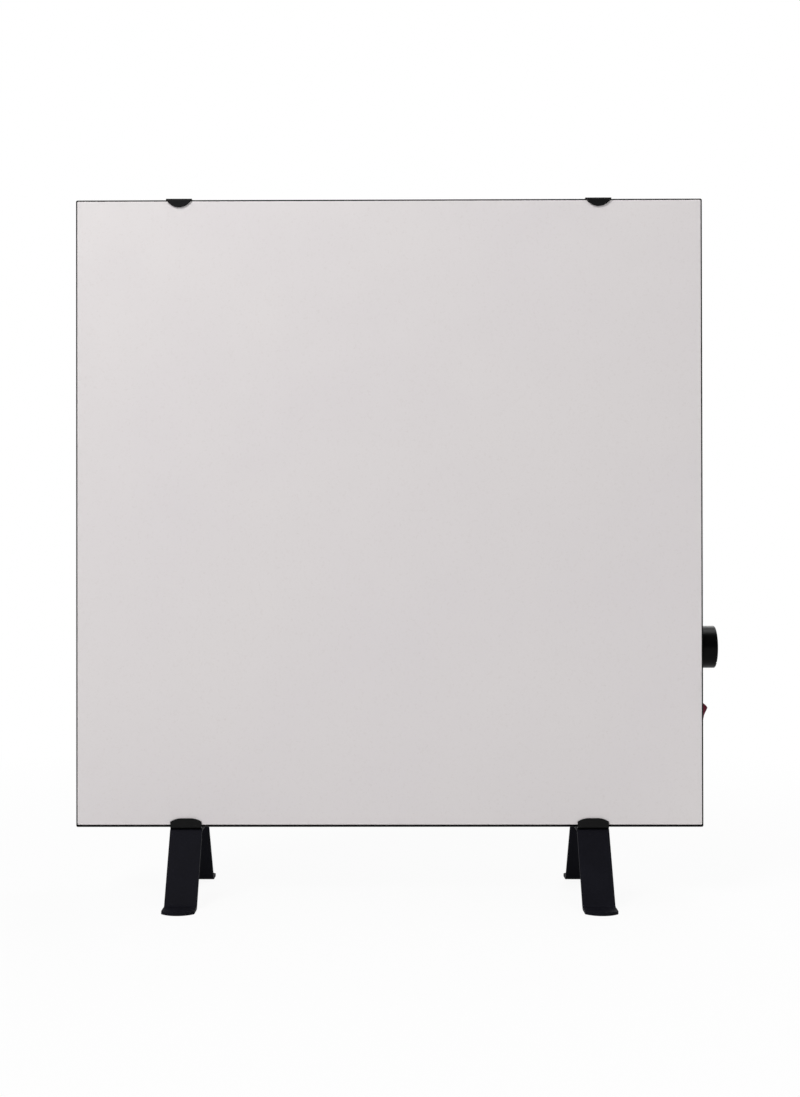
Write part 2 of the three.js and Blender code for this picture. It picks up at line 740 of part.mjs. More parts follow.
// Feet: toe, leg, bridge, leg and toe in one strip, its ends rounded
function makeFoot(name, side) {
  const x = side * footX;
  const toeZ = half(footSheet);
  const bridgeZ = bridgeTop - half(footSheet);
  const corners = [
    [frontTipY, toeZ],
    [bridgeInset - frontLegSpread, toeZ],
    [bridgeInset, bridgeZ],
    [bridgeBack, bridgeZ],
    [bridgeBack + rearLegSpread, toeZ],
    [rearTipY, toeZ],
  ].map(([y, z]) => new THREE.Vector2(y, z));
  const halfWidth = half(footWidth);
  const strip = slabX(stripOutline(corners, footBendRadius, footSheet), x - halfWidth, x + halfWidth);

  const endRadius = (halfWidth ** 2 + toeBulge ** 2) / (2 * toeBulge);
  const open = THREE.MathUtils.radToDeg(Math.asin(halfWidth / endRadius));
  const plan = [
    ...arc(x, frontTipY + endRadius, endRadius, 270 - open, 270 + open, toeArcSteps),
    ...arc(x, rearTipY - endRadius, endRadius, 90 - open, 90 + open, toeArcSteps),
  ];
  const rounded = strip.intersect(slabZ(plan, -cutOverrun, floorClearance));
  const holes = Object.values(footScrewInsets).map((inset) =>
    slabZ(circle(x, inset, holeFor(footScrew)), bridgeZ - footSheet, floorClearance));
  place(base, `foot_${name}`, cutBy(rounded, holes), footPaint);

  for (const [end, inset] of Object.entries(footScrewInsets)) {
    const down = alongZ.clone().negate();
    const screw = turned(screwProfile(footScrew), down, at(x, inset, bridgeTop - footSheet));
    place(base, `foot_screw_${name}_${end}`, screw, blackScrew);
    const bore = circle(x, inset, holeFor(footScrew));
    const nutSeat = floorClearance + casingSheet + contactGap;
    const nut = slabZ(circle(x, inset, footNutRadius, 6), nutSeat, nutSeat + footNutHeight, [bore]);
    place(base, `foot_nut_${name}_${end}`, nut, zincScrew);
  }
}

// Thermostat behind the right wall: body with neck and blades, shaft, knob, screws and sensor
function makeThermostat() {
  const bodyBack = innerX - thermostatDepth;
  const outline = roundedBox(
    controlsInset,
    knobZ,
    thermostatWidth,
    thermostatHeight,
    thermostatCornerRadius,
  );
  const neck = circle(controlsInset, knobZ, neckRadius, roundSides);
  const blades = Object.values(sides).map((side) => {
    const z = knobZ + side * thermostatBladeOffset;
    return slabX(centredBox(controlsInset, z, bladeThickness, bladeWidth), bodyBack - bladeLength, bodyBack);
  });
  const bore = circle(controlsInset, knobZ, shaftRadius + runningGap, roundSides);
  const cutters = [slabX(bore, innerX - shaftSocket - seatGap, outerX + neckReach + cutOverrun)];
  for (const side of Object.values(sides)) {
    const screwHole = circle(controlsInset, knobZ + side * thermostatScrewOffset, holeFor(thermostatScrew));
    cutters.push(slabX(screwHole, innerX - shaftSocket, innerX + cutOverrun));
  }
  const body = joined(
    slabX(outline, bodyBack, innerX),
    slabX(neck, innerX, outerX + neckReach),
    ...blades,
  );
  place(panel, 'thermostat_body', cutBy(body, cutters), bakelite);

  const shaft = slabX(
    shaftOutline(controlsInset, knobZ, shaftRadius, shaftFlat),
    innerX - shaftSocket,
    outerX + shaftReach,
  );
  place(panel, 'thermostat_shaft', shaft, zincScrew);
  for (const [name, side] of Object.entries({ lower: -1, upper: 1 })) {
    const seat = at(outerX, controlsInset, knobZ + side * thermostatScrewOffset);
    place(panel, `thermostat_screw_${name}`, turned(screwProfile(thermostatScrew), alongX, seat), zincScrew);
  }
  place(panel, 'thermostat_knob', knobSolid(), blackPlastic);
  makeSensor(bodyBack);
}

function knobSolid() {
  const rimHeight = knobReach - knobDome - knobEdgeRadius;
  const edge = arc(knobRadius - knobEdgeRadius, rimHeight, knobEdgeRadius, 0, 80, cornerSteps);
  const cavityTop = knobReach - knobDome - knobCrownWall;
  const cavityRadius = knobRadius - knobSkirtWall;
  const hubBase = knobWallGap + knobHubRecess;
  const domeShares = [0.6, 0.3];
  const dome = domeShares.map((share) => [share * knobRadius, knobReach - knobDome * share ** 2]);
  const profile = [
    [0, hubBase],
    [knobHubRadius, hubBase],
    [knobHubRadius, cavityTop],
    [cavityRadius, cavityTop],
    [cavityRadius, knobWallGap],
    [knobRadius, knobWallGap],
    ...edge.map(({ x, y }) => [x, y]),
    ...dome,
    [0, knobReach],
  ];
  const knob = turned(profile, alongX, at(outerX, controlsInset, knobZ), roundSides);
  const socket = shaftOutline(controlsInset, knobZ, shaftRadius + runningGap, shaftFlat + runningGap);
  const pointerReach = 2 * knobRadius;
  const groove = slabX(
    box(-half(knobPointerWidth), half(knobPointerWidth), knobPointerStart, pointerReach),
    knobReach - knobDome - knobPointerDepth,
    knobReach + cutOverrun,
  );
  const turnedGroove = groove.rotate([-knobPointerAngle, 0, 0]).translate([outerX, controlsInset, knobZ]);
  return cutBy(knob, [slabX(socket, outerX, outerX + shaftReach + seatGap), turnedGroove]);
}

// Sensor bulb on the tray's back, with its capillary to the thermostat
function makeSensor(bodyBack) {
  const z = overUnderside(bulbHeight);
  const y = trayBack + seatGap + bulbRadius;
  const bulbEnd = fieldRight + bulbEndShare * bayWidth;
  const tip = half(bulbRadius);
  const farTip = bulbLength - tip;
  const bulb = turned(
    [[0, 0], [tip, 0], [bulbRadius, tip], [bulbRadius, farTip], [tip, bulbLength], [0, bulbLength]],
    alongX,
    at(bulbEnd - bulbLength, y, z),
    2 * cornerSteps + 2,
  );
  const start = at(bulbEnd - tip, y, z);
  const end = at(bodyBack - seatGap, controlsInset, knobZ + half(thermostatHeight) - capillaryInset);
  const route = [
    start,
    at(start.x + wireStub, y, z),
    between(start, end, [0.5, 0.52, 0.4]),
    between(start, end, [0.75, 0.42, 0.8]),
    at(end.x - wireStub, end.y, end.z),
    end,
  ];
  const path = new THREE.CatmullRomCurve3(route).getSpacedPoints(wireSteps);
  const capillary = tube(path, capillaryRadius, wireSides);
  place(panel, 'sensor_capillary', joined(bulb, capillary), zincScrew);
}

// Rocker switch: housing through the right wall, rocker on two stub pins
function makeSwitch() {
  const bodyBack = outerX - switchDepth;
  const cavityFloor = outerX - switchCavityDepth;
  const bezel = roundedBox(controlsInset, switchZ, bezelWidth, bezelHeight, bezelCornerRadius);
  const blades = Object.values(sides).map((side) => {
    const z = switchZ + side * switchBladeOffset;
    return slabX(centredBox(controlsInset, z, bladeThickness, bladeWidth), bodyBack - bladeLength, bodyBack);
  });
  const block = joined(
    slabX(bezel, outerX, outerX + bezelLip),
    slabX(centredBox(controlsInset, switchZ, switchWidth, switchBodyHeight), bodyBack, outerX),
    ...blades,
  );
  const cavity = centredBox(controlsInset, switchZ, switchCavityWidth, switchCavityHeight);
  const pivotX = outerX - rockerPivotDepth;
  const pinHole = slabY(
    circle(pivotX, switchZ, rockerPinRadius + seatGap),
    controlsInset - switchWidth,
    controlsInset + switchWidth,
  );
  const cutters = [slabX(cavity, cavityFloor, outerX + bezelLip + cutOverrun), pinHole];
  place(panel, 'switch_housing', cutBy(block, cutters), blackPlastic);

  const cornerAngle = Math.acos((rockerPivotDepth + rockerEndRise) / rockerRadius);
  const cornerDegrees = THREE.MathUtils.radToDeg(cornerAngle);
  const upper = [
    ...arc(0, 0, rockerRadius, cornerDegrees, rockerSkirtAngle, 2 * cornerSteps),
    new THREE.Vector2(rockerPivotDepth - rockerShoulderDepth, rockerShoulderHalfWidth),
    new THREE.Vector2(rockerPivotDepth - rockerStemDepth, rockerStemHalfWidth),
  ];
  const lower = upper.map(({ x, y }) => new THREE.Vector2(x, -y)).reverse();
  const middle = new THREE.Vector2(rockerPivotDepth + rockerMiddleRise, 0);
  const outline = [middle, ...upper, ...lower];
  const pinHalf = half(switchCavityWidth) + rockerPinReach;
  const rocker = joined(
    slabY(outline, -half(rockerWidth), half(rockerWidth)),
    slabY(circle(0, 0, rockerPinRadius), -pinHalf, pinHalf),
  );
  const mesh = place(panel, 'switch_rocker', rocker, redPlastic);
  mesh.position.set(pivotX, controlsInset, switchZ);
  mesh.rotation.y = degrees(rockerTilt);
}

// Cable gland through the back cover and its lock nut
function makeGland() {
  const profile = [
    [glandBoreRadius, -glandThreadLength],
    [glandThreadRadius, -glandThreadLength],
    [glandThreadRadius, 0],
    [glandFlangeRadius, 0],
    [glandFlangeRadius, glandFlangeHeight],
    [glandBoreRadius + glandDomeWall, glandFlangeHeight],
    [glandBoreRadius + glandNoseWall, glandReach],
    [glandBoreRadius, glandReach],
    [glandBoreRadius, -glandThreadLength],
  ];
  const gland = turned(profile, alongY, at(glandX, coverBack, glandZ), roundSides);
  place(panel, 'cable_gland', gland, blackPlastic);
  const bore = circle(glandX, glandZ, glandThreadRadius + seatGap, roundSides);
  const hexagon = circle(glandX, glandZ, glandFlangeRadius, 6);
  const nut = slabY(hexagon, casingDepth - glandNutHeight, casingDepth, [bore]);
  place(panel, 'gland_nut', nut, blackPlastic);
}

// Terminal block and thermal cut-out on the tray's back
function makeTrayParts() {
  const screwPlaces = trayScrewPlaces();
  const blockHole = ({ x, z }) => circle(x, z, holeFor(trayScrew));
  const blockCutters = screwPlaces.slice(0, 2).map((screw) =>
    slabY(blockHole(screw), trayBack - cutOverrun, trayBack + blockDepth + cutOverrun));
  const poleY = trayBack + half(blockDepth);
  for (const pole of [-1, 0, 1]) {
    const bore = circle(blockX + pole * poleSpacing, poleY, poleBoreRadius);
    blockCutters.push(slabZ(bore, blockZ - blockRise, blockZ + blockRise));
  }
  const block = slabY(centredBox(blockX, blockZ, blockWidth, blockRise), trayBack, trayBack + blockDepth);
  place(panel, 'terminal_block', cutBy(block, blockCutters), steatite);

  const flangeHoles = screwPlaces.slice(2, 4).map(({ x, z }) => circle(x, z, holeFor(trayScrew)));
  const flange = centredBox(cutoutX, cutoutZ, cutoutFlangeLength, cutoutFlangeWidth);
  const cap = circle(cutoutX, cutoutZ, cutoutRadius, roundSides);
  const bladeY = trayBack + cutoutDepth - cutoutBladeInset;
  const bladeReach = cutoutRadius + bladeLength;
  const bladeBar = box(
    cutoutX - half(bladeWidth),
    cutoutX + half(bladeWidth),
    cutoutZ - bladeReach,
    cutoutZ + bladeReach,
  );
  const cutout = joined(
    slabY(flange, trayBack, trayBack + cutoutFlangeSheet, flangeHoles),
    slabY(cap, trayBack, trayBack + cutoutDepth),
    slabY(bladeBar, bladeY, bladeY + bladeThickness),
  );
  place(panel, 'thermal_cutout', cutout, bakelite);
  for (const { name, x, z, seat } of screwPlaces) {
    const shankLength = seat + traySheet + trayScrewGrip;
    const profile = screwProfile({ ...trayScrew, shankLength });
    place(panel, name, turned(profile, alongY, at(x, trayBack + seat, z)), zincScrew);
  }
}

// A place between two ends across and up, and between tile and cover in depth, as shares
function between(start, end, [across, back, up]) {
  return at(
    THREE.MathUtils.lerp(start.x, end.x, across),
    THREE.MathUtils.lerp(tileThickness, casingDepth, back),
    THREE.MathUtils.lerp(start.z, end.z, up),
  );
}

// A wire from one terminal to the next, straight at both ends
function wireSolid(start, leave, middlePoints, end, arrive, steps = wireSteps) {
  const leaving = start.clone().addScaledVector(leave, wireStub);
  const arriving = end.clone().addScaledVector(arrive, -wireStub);
  const route = [start, leaving, ...middlePoints, arriving, end];
  const curve = new THREE.CatmullRomCurve3(route, false, 'centripetal');
  const clearOf = (point, terminal) => point.distanceTo(terminal) > wireStub + 2 * wireRadius;
  const clearOfBoth = (point) => clearOf(point, start) && clearOf(point, end);
  const middle = curve.getSpacedPoints(steps).filter(clearOfBoth);
  return tube([start, leaving, ...middle, arriving, end], wireRadius, wireSides);
}

const up = alongZ;
const down = alongZ.clone().negate();
const right = alongX;
const left = alongX.clone().negate();

function makeWires([lowerLead, upperLead]) {
  const poleY = trayBack + half(blockDepth);
  const poleTop = blockZ + half(blockRise) + seatGap;
  const pole = (index) => at(blockX + index * poleSpacing, poleY, poleTop);
  const switchBlade = (side) => at(
    outerX - switchDepth - bladeLength - seatGap,
    controlsInset,
    switchZ + side * switchBladeOffset,
  );
  const thermostatBlade = (side) => at(
    innerX - thermostatDepth - bladeLength - seatGap,
    controlsInset,
    knobZ + side * thermostatBladeOffset,
  );
  const cutoutBlade = (side) => at(
    cutoutX,
    trayBack + cutoutDepth - cutoutBladeInset + half(bladeThickness),
    cutoutZ + side * (cutoutRadius + bladeLength + seatGap),
  );
  const points = (start, end, shares) => shares.map((row) => between(start, end, row));

  const inletShares = [[0.21, 0.7, 0.66], [0.5, 0.62, 0.88], [0.75, 0.45, 0.98]];
  const inletPoints = points(pole(1), switchBlade(-1), inletShares);
  const inletWire = wireSolid(pole(1), up, inletPoints, switchBlade(-1), right);
  place(panel, 'wire_inlet_to_switch', inletWire, liveSleeve);

  const bayEdge = at(fieldRight, 0, knobZ - thermostatBladeOffset);
  const switchShares = [[0.25, 0.34, 0.15], [0.31, 0.34, 0.5], [0.28, 0.34, 0.85]];
  const switchPoints = points(switchBlade(1), bayEdge, switchShares);
  const switchWire = wireSolid(switchBlade(1), left, switchPoints, thermostatBlade(-1), right);
  place(panel, 'wire_switch_to_thermostat', switchWire, liveSleeve);

  const thermostatShares = [[0.35, 0.62, 0.1], [0.66, 0.64, 0.38], [0.9, 0.58, 0.73]];
  const thermostatPoints = points(thermostatBlade(1), cutoutBlade(-1), thermostatShares);
  const thermostatWire = wireSolid(thermostatBlade(1), left, thermostatPoints, cutoutBlade(-1), up);
  place(panel, 'wire_thermostat_to_cutout', thermostatWire, liveSleeve);

  const elementShares = [
    [0.17, 0.56, -0.08],
    [0.51, 0.6, -0.08],
    [0.94, 0.56, -0.027],
    [1.14, 0.44, 0.107],
    [1.2, 0.31, 0.358],
    [1.2, 0.22, 0.694],
    [1.2, 0.11, 0.891],
  ];
  const elementPoints = points(cutoutBlade(1), lowerLead, elementShares);
  const elementWire = wireSolid(cutoutBlade(1), up, elementPoints, lowerLead, left, longWireSteps);
  place(panel, 'wire_cutout_to_element', elementWire, liveSleeve);

  const neutralShares = [
    [-0.37, 0.13, 0.026],
    [-0.41, 0.222, 0.0735],
    [-0.41, 0.222, 0.336],
    [-0.41, 0.222, 0.724],
    [-0.39, 0.222, 0.882],
    [-0.28, 0.31, 0.919],
    [0.06, 0.42, 0.949],
    [0.62, 0.47, 0.961],
  ];
  const neutralPoints = points(upperLead, pole(0), neutralShares);
  const neutralWire = wireSolid(upperLead, right, neutralPoints, pole(0), down, longWireSteps);
  place(panel, 'wire_neutral', neutralWire, neutralSleeve);

  const lug = slabY(
    circle(earthX, earthZ, lugRadius),
    trayBack,
    trayBack + lugThickness,
    [circle(earthX, earthZ, holeFor(trayScrew))],
  );
  const lugEnd = at(earthX + lugRadius - seatGap, trayBack + seatGap + wireRadius, earthZ);
  const earthPoints = [between(pole(-1), lugEnd, [0.2, 0.5, 1])];
  const earthWire = joined(wireSolid(pole(-1), up, earthPoints, lugEnd, left), lug);
  place(panel, 'wire_earth', earthWire, earthSleeve);
}

makeTile();
makeCasing();
const leadEnds = makeHeatingCable();
makeHeatedField();
makeBackCover();
for (const [name, side] of Object.entries(sides)) {
  makeTopClip(name, side);
  makeBottomClip(name, side);
  makeFoot(name, side);
}
makeThermostat();
makeSwitch();
makeGland();
makeTrayParts();
makeWires(leadEnds);

export default heater;
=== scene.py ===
# %% [markdown]
# # A ceramic panel heater
# The object is a square ceramic tile in a thin steel casing. It stands on two feet bent from steel strip. A
# thermostat knob and a rocker switch sit on its right side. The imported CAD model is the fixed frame, and
# every piece that is made here replaces a CAD node or adds to it.

# %% Load the frame
import json
import math

import bmesh
import bpy
from mathutils import Matrix, Vector


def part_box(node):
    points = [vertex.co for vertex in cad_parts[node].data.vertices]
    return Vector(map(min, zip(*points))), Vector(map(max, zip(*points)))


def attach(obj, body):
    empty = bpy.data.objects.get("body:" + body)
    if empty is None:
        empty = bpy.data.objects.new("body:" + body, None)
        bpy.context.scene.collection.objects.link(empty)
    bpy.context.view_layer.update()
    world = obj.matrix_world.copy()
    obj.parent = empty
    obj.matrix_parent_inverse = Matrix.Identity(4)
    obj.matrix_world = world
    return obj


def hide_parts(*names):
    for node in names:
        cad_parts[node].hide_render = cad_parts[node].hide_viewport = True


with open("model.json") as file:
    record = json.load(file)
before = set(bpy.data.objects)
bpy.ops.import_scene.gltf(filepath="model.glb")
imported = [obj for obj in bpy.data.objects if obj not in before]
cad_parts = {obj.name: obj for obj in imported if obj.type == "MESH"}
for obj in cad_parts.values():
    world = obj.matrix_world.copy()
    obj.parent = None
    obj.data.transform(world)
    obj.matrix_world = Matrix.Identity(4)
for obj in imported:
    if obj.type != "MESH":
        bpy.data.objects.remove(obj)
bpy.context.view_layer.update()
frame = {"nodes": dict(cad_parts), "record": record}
nodes = frame["nodes"]
scene = bpy.context.scene

# %% [markdown]
# All pieces are drawn in millimetres around the middle of the panel: X to the right, Y from the tile's face
# to the back, Z up. One matrix then takes them to the frame's metres. Its place comes from the CAD boxes, so
# each piece lands where its solid is.

# %% The panel's own millimetres
MM_PER_METRE = 1000
casing_low, casing_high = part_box("casing")
tile_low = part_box("ceramic_tile")[0]
panel_middle = (casing_low + casing_high) / 2
panel_origin = Vector((panel_middle.x, tile_low.y, panel_middle.z))
MILLIMETRES = Matrix.Scale(1 / MM_PER_METRE, 4)
TO_FRAME = Matrix.Translation(panel_origin) @ MILLIMETRES
half_width = (casing_high.x - casing_low.x) / 2 * MM_PER_METRE
half_height = (casing_high.z - casing_low.z) / 2 * MM_PER_METRE
casing_depth = (casing_high.y - tile_low.y) * MM_PER_METRE
print("panel:", round(2 * half_width, 1), "x", round(2 * half_height, 1), "mm, back at", round(casing_depth, 1))


def node_box(name):
    """Lowest and highest corner of a CAD node in the panel's millimetres."""
    low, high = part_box(name)
    return (low - panel_origin) * MM_PER_METRE, (high - panel_origin) * MM_PER_METRE


def node_middle(name):
    """The middle of a CAD node's box."""
    low, high = node_box(name)
    return (low + high) / 2


# %% [markdown]
# Small helpers keep the cells short. A piece starts as a bmesh, gets its doubles merged and its faces turned
# outward, and becomes an object at the origin with its place in its mesh.

# %% Helpers for meshes
SMOOTH_ANGLE = math.radians(35)
BEVEL_ANGLE = math.radians(40)
MERGE_MM = 0.0005


def put_in_scene(name, data):
    """A new object that holds some data."""
    holder = bpy.data.objects.new(name, data)
    scene.collection.objects.link(holder)
    return holder


def piece_from(name, bm, material, matrix=TO_FRAME):
    """A bmesh in panel millimetres becomes a mesh object in the frame."""
    bmesh.ops.remove_doubles(bm, verts=bm.verts, dist=MERGE_MM)
    bmesh.ops.recalc_face_normals(bm, faces=bm.faces)
    mesh = bpy.data.meshes.new(name)
    bm.to_mesh(mesh)
    bm.free()
    mesh.transform(matrix)
    mesh.materials.append(material)
    piece = put_in_scene(name, mesh)
    shade(piece)
    return piece


def carry(piece, matrix):
    """Moves a piece's mesh by a matrix in panel millimetres."""
    piece.data.transform(TO_FRAME @ matrix @ TO_FRAME.inverted())


def shade(piece):
    """Smooth shading, with real corners kept sharp."""
    piece.data.shade_smooth()
    piece.data.set_sharp_from_angle(angle=SMOOTH_ANGLE)


def settle(piece, reshade=True):
    """Replaces a piece's mesh by the result of its modifiers."""
    evaluated = piece.evaluated_get(bpy.context.evaluated_depsgraph_get())
    mesh = bpy.data.meshes.new_from_object(evaluated)
    mesh.name = piece.name
    piece.modifiers.clear()
    piece.data = mesh
    if reshade:
        shade(piece)


def soften(piece, width, segments=3):
    """Rounds a piece's sharp edges, width in millimetres."""
    bevel = piece.modifiers.new("Rounded edges", "BEVEL")
    bevel.width = width / MM_PER_METRE
    bevel.segments = segments
    bevel.limit_method = "ANGLE"
    bevel.angle_limit = BEVEL_ANGLE
    bevel.use_clamp_overlap = True
    settle(piece)


def weigh_normals(piece):
    """Lets the large faces of a piece set its shading, so that they look flat."""
    piece.modifiers.new("Weighted normals", "WEIGHTED_NORMAL").keep_sharp = True
    settle(piece, reshade=False)


def cut(piece, cutters, painted=False):
    """Cuts other meshes out of a piece and removes them. A painted cut shows the cutter's own material."""
    for cutter in cutters:
        modifier = piece.modifiers.new("Cut", "BOOLEAN")
        modifier.object = cutter
        modifier.solver = "EXACT"
        if painted:
            modifier.material_mode = "TRANSFER"
    settle(piece)
    for cutter in cutters:
        bpy.data.objects.remove(cutter)


def triangles(piece):
    """How many triangles a piece has."""
    return sum(len(face.vertices) - 2 for face in piece.data.polygons)


def hand_over(piece, body, slot, *replaced):
    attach(piece, body)
    if replaced:
        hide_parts(*replaced)
    print(piece.name, triangles(piece), "triangles")


# %% [markdown]
# Most pieces here are skinned: a row of rings with the same number of points, joined by faces. A turned piece
# is such a row too, with a ring for each point of its profile, and so is a slab whose rings are rounded
# rectangles. Blender's Spin tool and its Bevel modifier make such shapes as well, but rings give every bend its
# own radius, and one function serves them all.

# %% Helpers for rings and turned shapes
def skin(bm, rings, closed=False):
    """Joins rings of equal length with faces. A closed skin joins its last ring to its first."""
    rows = [[bm.verts.new(point) for point in ring] for ring in rings]
    for row, following in zip(rows, rows[1:] + rows[:1] if closed else rows[1:]):
        for index in range(len(row)):
            after = (index + 1) % len(row)
            bm.faces.new((row[index], row[after], following[after], following[index]))
    if not closed:
        bm.faces.new(rows[0])
        bm.faces.new(rows[-1])


def skinned(name, rings, material, closed=False, matrix=TO_FRAME):
    """A piece made of one skin."""
    bm = bmesh.new()
    skin(bm, rings, closed)
    return piece_from(name, bm, material, matrix)


def lathe(profile, axis, centre, steps=32):
    """A closed profile of (radius, height) pairs turned about an axis through a point."""
    turn = Vector((0, 0, 1)).rotation_difference(Vector(axis)).to_matrix()
    angles = [2 * math.pi * step / steps for step in range(steps)]
    rings = []
    for radius, height in profile:
        ring = [Vector((radius * math.cos(a), radius * math.sin(a), height)) for a in angles]
        rings.append([turn @ point + Vector(centre) for point in ring])
    bm = bmesh.new()
    skin(bm, rings, closed=True)
    bmesh.ops.remove_doubles(bm, verts=bm.verts, dist=MERGE_MM)
    bmesh.ops.dissolve_degenerate(bm, edges=bm.edges, dist=MERGE_MM)
    return bm


def quarter(centre, radius, start, end, steps=6):
    """Points of an arc in a profile, angles in degrees."""
    angles = [math.radians(start + (end - start) * step / steps) for step in range(steps + 1)]
    return [(centre[0] + radius * math.cos(a), centre[1] + radius * math.sin(a)) for a in angles]


def rounded_rectangle(half_x, half_z, radius, steps=8):
    """Corner points of a rounded rectangle around the origin."""
    corners = [(1, 1, 0), (-1, 1, 90), (-1, -1, 180), (1, -1, 270)]
    points = []
    for side_x, side_z, start in corners:
        centre = (side_x * (half_x - radius), side_z * (half_z - radius))
        points += quarter(centre, radius, start, start + 90, steps)
    return points


# %% [markdown]
# The photograph was taken from straight in front, a little below the panel's middle. The camera stands 1.5 m
# before the tile, which the shrinking of the feet gives. Its axis is turned by under half a degree to the
# left and up, as the picture's edges show, and a small shift puts the object where the picture has it.

# %% Camera
PHOTO_WIDTH, PHOTO_HEIGHT = 800, 1097
CAMERA_DISTANCE = 1.4926
CAMERA_HEIGHT = 0.3182
FAR_CLIP = 50
FOCAL_PIXELS = 1553.0
AXIS_PIXELS = (377.9, 560.9)
TURNED_LEFT, TILTED_UP, ROLLED = 0.410, 0.304, -0.085
SENSOR_MM = 36.0

camera_data = bpy.data.cameras.new("Camera")
camera_data.sensor_fit = "VERTICAL"
camera_data.sensor_height = SENSOR_MM
camera_data.lens = FOCAL_PIXELS / PHOTO_HEIGHT * SENSOR_MM
camera_data.shift_x = (PHOTO_WIDTH / 2 - AXIS_PIXELS[0]) / PHOTO_HEIGHT
camera_data.shift_y = (AXIS_PIXELS[1] - PHOTO_HEIGHT / 2) / PHOTO_HEIGHT
camera_data.clip_end = FAR_CLIP
camera = put_in_scene("Camera", camera_data)
camera.location = (panel_origin.x, tile_low.y - CAMERA_DISTANCE, CAMERA_HEIGHT)
sideways = Matrix.Rotation(math.radians(TURNED_LEFT), 3, "Z")
upward = Matrix.Rotation(math.radians(90 + TILTED_UP), 3, "X")
rolled = Matrix.Rotation(math.radians(ROLLED), 3, "Z")
camera.rotation_euler = (sideways @ upward @ rolled).to_euler()
scene.camera = camera
print("lens", round(camera_data.lens, 1), "mm")

# %% [markdown]
# Materials are node trees, and a few small functions keep them readable. One adds any node with its settings
# and links, one starts a material with its plain values, and one lays patterns on it. A pattern is a number
# from 0 to 1 at each place. It can run from one colour to another, from smooth to rough, or from low to high.

# %% Colours and nodes
def linear(colour):
    """An sRGB hex colour as linear RGBA."""
    channels = [int(colour[start:start + 2], 16) / 255 for start in (1, 3, 5)]
    values = [c / 12.92 if c <= 0.04045 else ((c + 0.055) / 1.055) ** 2.4 for c in channels]
    return (*values, 1.0)


def add(tree, kind, links=None, **settings):
    """Adds a node, sets what it is, and fills or links its inputs."""
    node = tree.nodes.new(kind)
    for name, value in settings.items():
        setattr(node, name, value)
    for socket, value in (links or {}).items():
        if isinstance(value, bpy.types.NodeSocket):
            tree.links.new(value, node.inputs[socket])
        else:
            node.inputs[socket].default_value = value
    return node


def start_material(name, colour, roughness, metallic=0.0, ior=1.5, gloss=0.5):
    """A new material with its plain values on the shader, and the object's coordinates to draw on."""
    material = bpy.data.materials.new(name)
    material.use_nodes = True
    tree = material.node_tree
    shader = tree.nodes["Principled BSDF"]
    shader.inputs["Base Color"].default_value = linear(colour)
    shader.inputs["Roughness"].default_value = roughness
    shader.inputs["Metallic"].default_value = metallic
    shader.inputs["IOR"].default_value = ior
    shader.inputs["Specular IOR Level"].default_value = gloss
    place = add(tree, "ShaderNodeTexCoord").outputs["Object"]
    print("finish:", name)
    return material, tree, shader, place


def lay_patterns(tree, shader, shade=None, gloss=None, relief=None):
    """Lets patterns set a shader's colour, roughness and relief.

    Shade is (pattern, colour at 0, colour at 1), gloss is (pattern, from, to, smooth, rough), and relief is
    (pattern, strength, height in millimetres).
    """
    if shade:
        pattern, first, second = shade
        tone = add(tree, "ShaderNodeMix", {0: pattern, 6: linear(first), 7: linear(second)}, data_type="RGBA")
        tree.links.new(tone.outputs[2], shader.inputs["Base Color"])
    if gloss:
        names = ("Value", "From Min", "From Max", "To Min", "To Max")
        polish = add(tree, "ShaderNodeMapRange", dict(zip(names, gloss)))
        tree.links.new(polish.outputs[0], shader.inputs["Roughness"])
    if relief:
        pattern, strength, height = relief
        bumps = add(
            tree, "ShaderNodeBump", {"Height": pattern, "Strength": strength, "Distance": height / MM_PER_METRE}
        )
        tree.links.new(bumps.outputs[0], shader.inputs["Normal"])


def per(size_mm):
    """A texture's scale for grains of that size, on coordinates in metres."""
    return MM_PER_METRE / size_mm


# %% [markdown]
# The studio is a pale floor under soft light. The photograph's background is pure white, so camera, glossy
# and transmission rays see it white behind the object and overhead. Towards the camera the room is dark, and
# glossy rays show that, which keeps the black parts black. The floor glows to white away from the object, and
# near it keeps a share of its own shading, which leaves the feet a faint shadow.

# %% Floor and background
def seen_directly(tree):
    """1 for the rays that show the background: camera, glossy and transmission rays."""
    path = add(tree, "ShaderNodeLightPath").outputs
    seen = add(tree, "ShaderNodeMath", {0: path["Is Camera Ray"], 1: path["Is Glossy Ray"]}, operation="MAXIMUM")
    both = add(
        tree, "ShaderNodeMath", {0: seen.outputs[0], 1: path["Is Transmission Ray"]}, operation="MAXIMUM"
    )
    return both.outputs[0]


WORLD_GREY = (0.38, 0.38, 0.38, 1)
DARK_ROOM = (0.07, 0.07, 0.07, 1)
WHITE = (1, 1, 1, 1)
DARK_UNTIL, WHITE_FROM = 0.05, 0.4

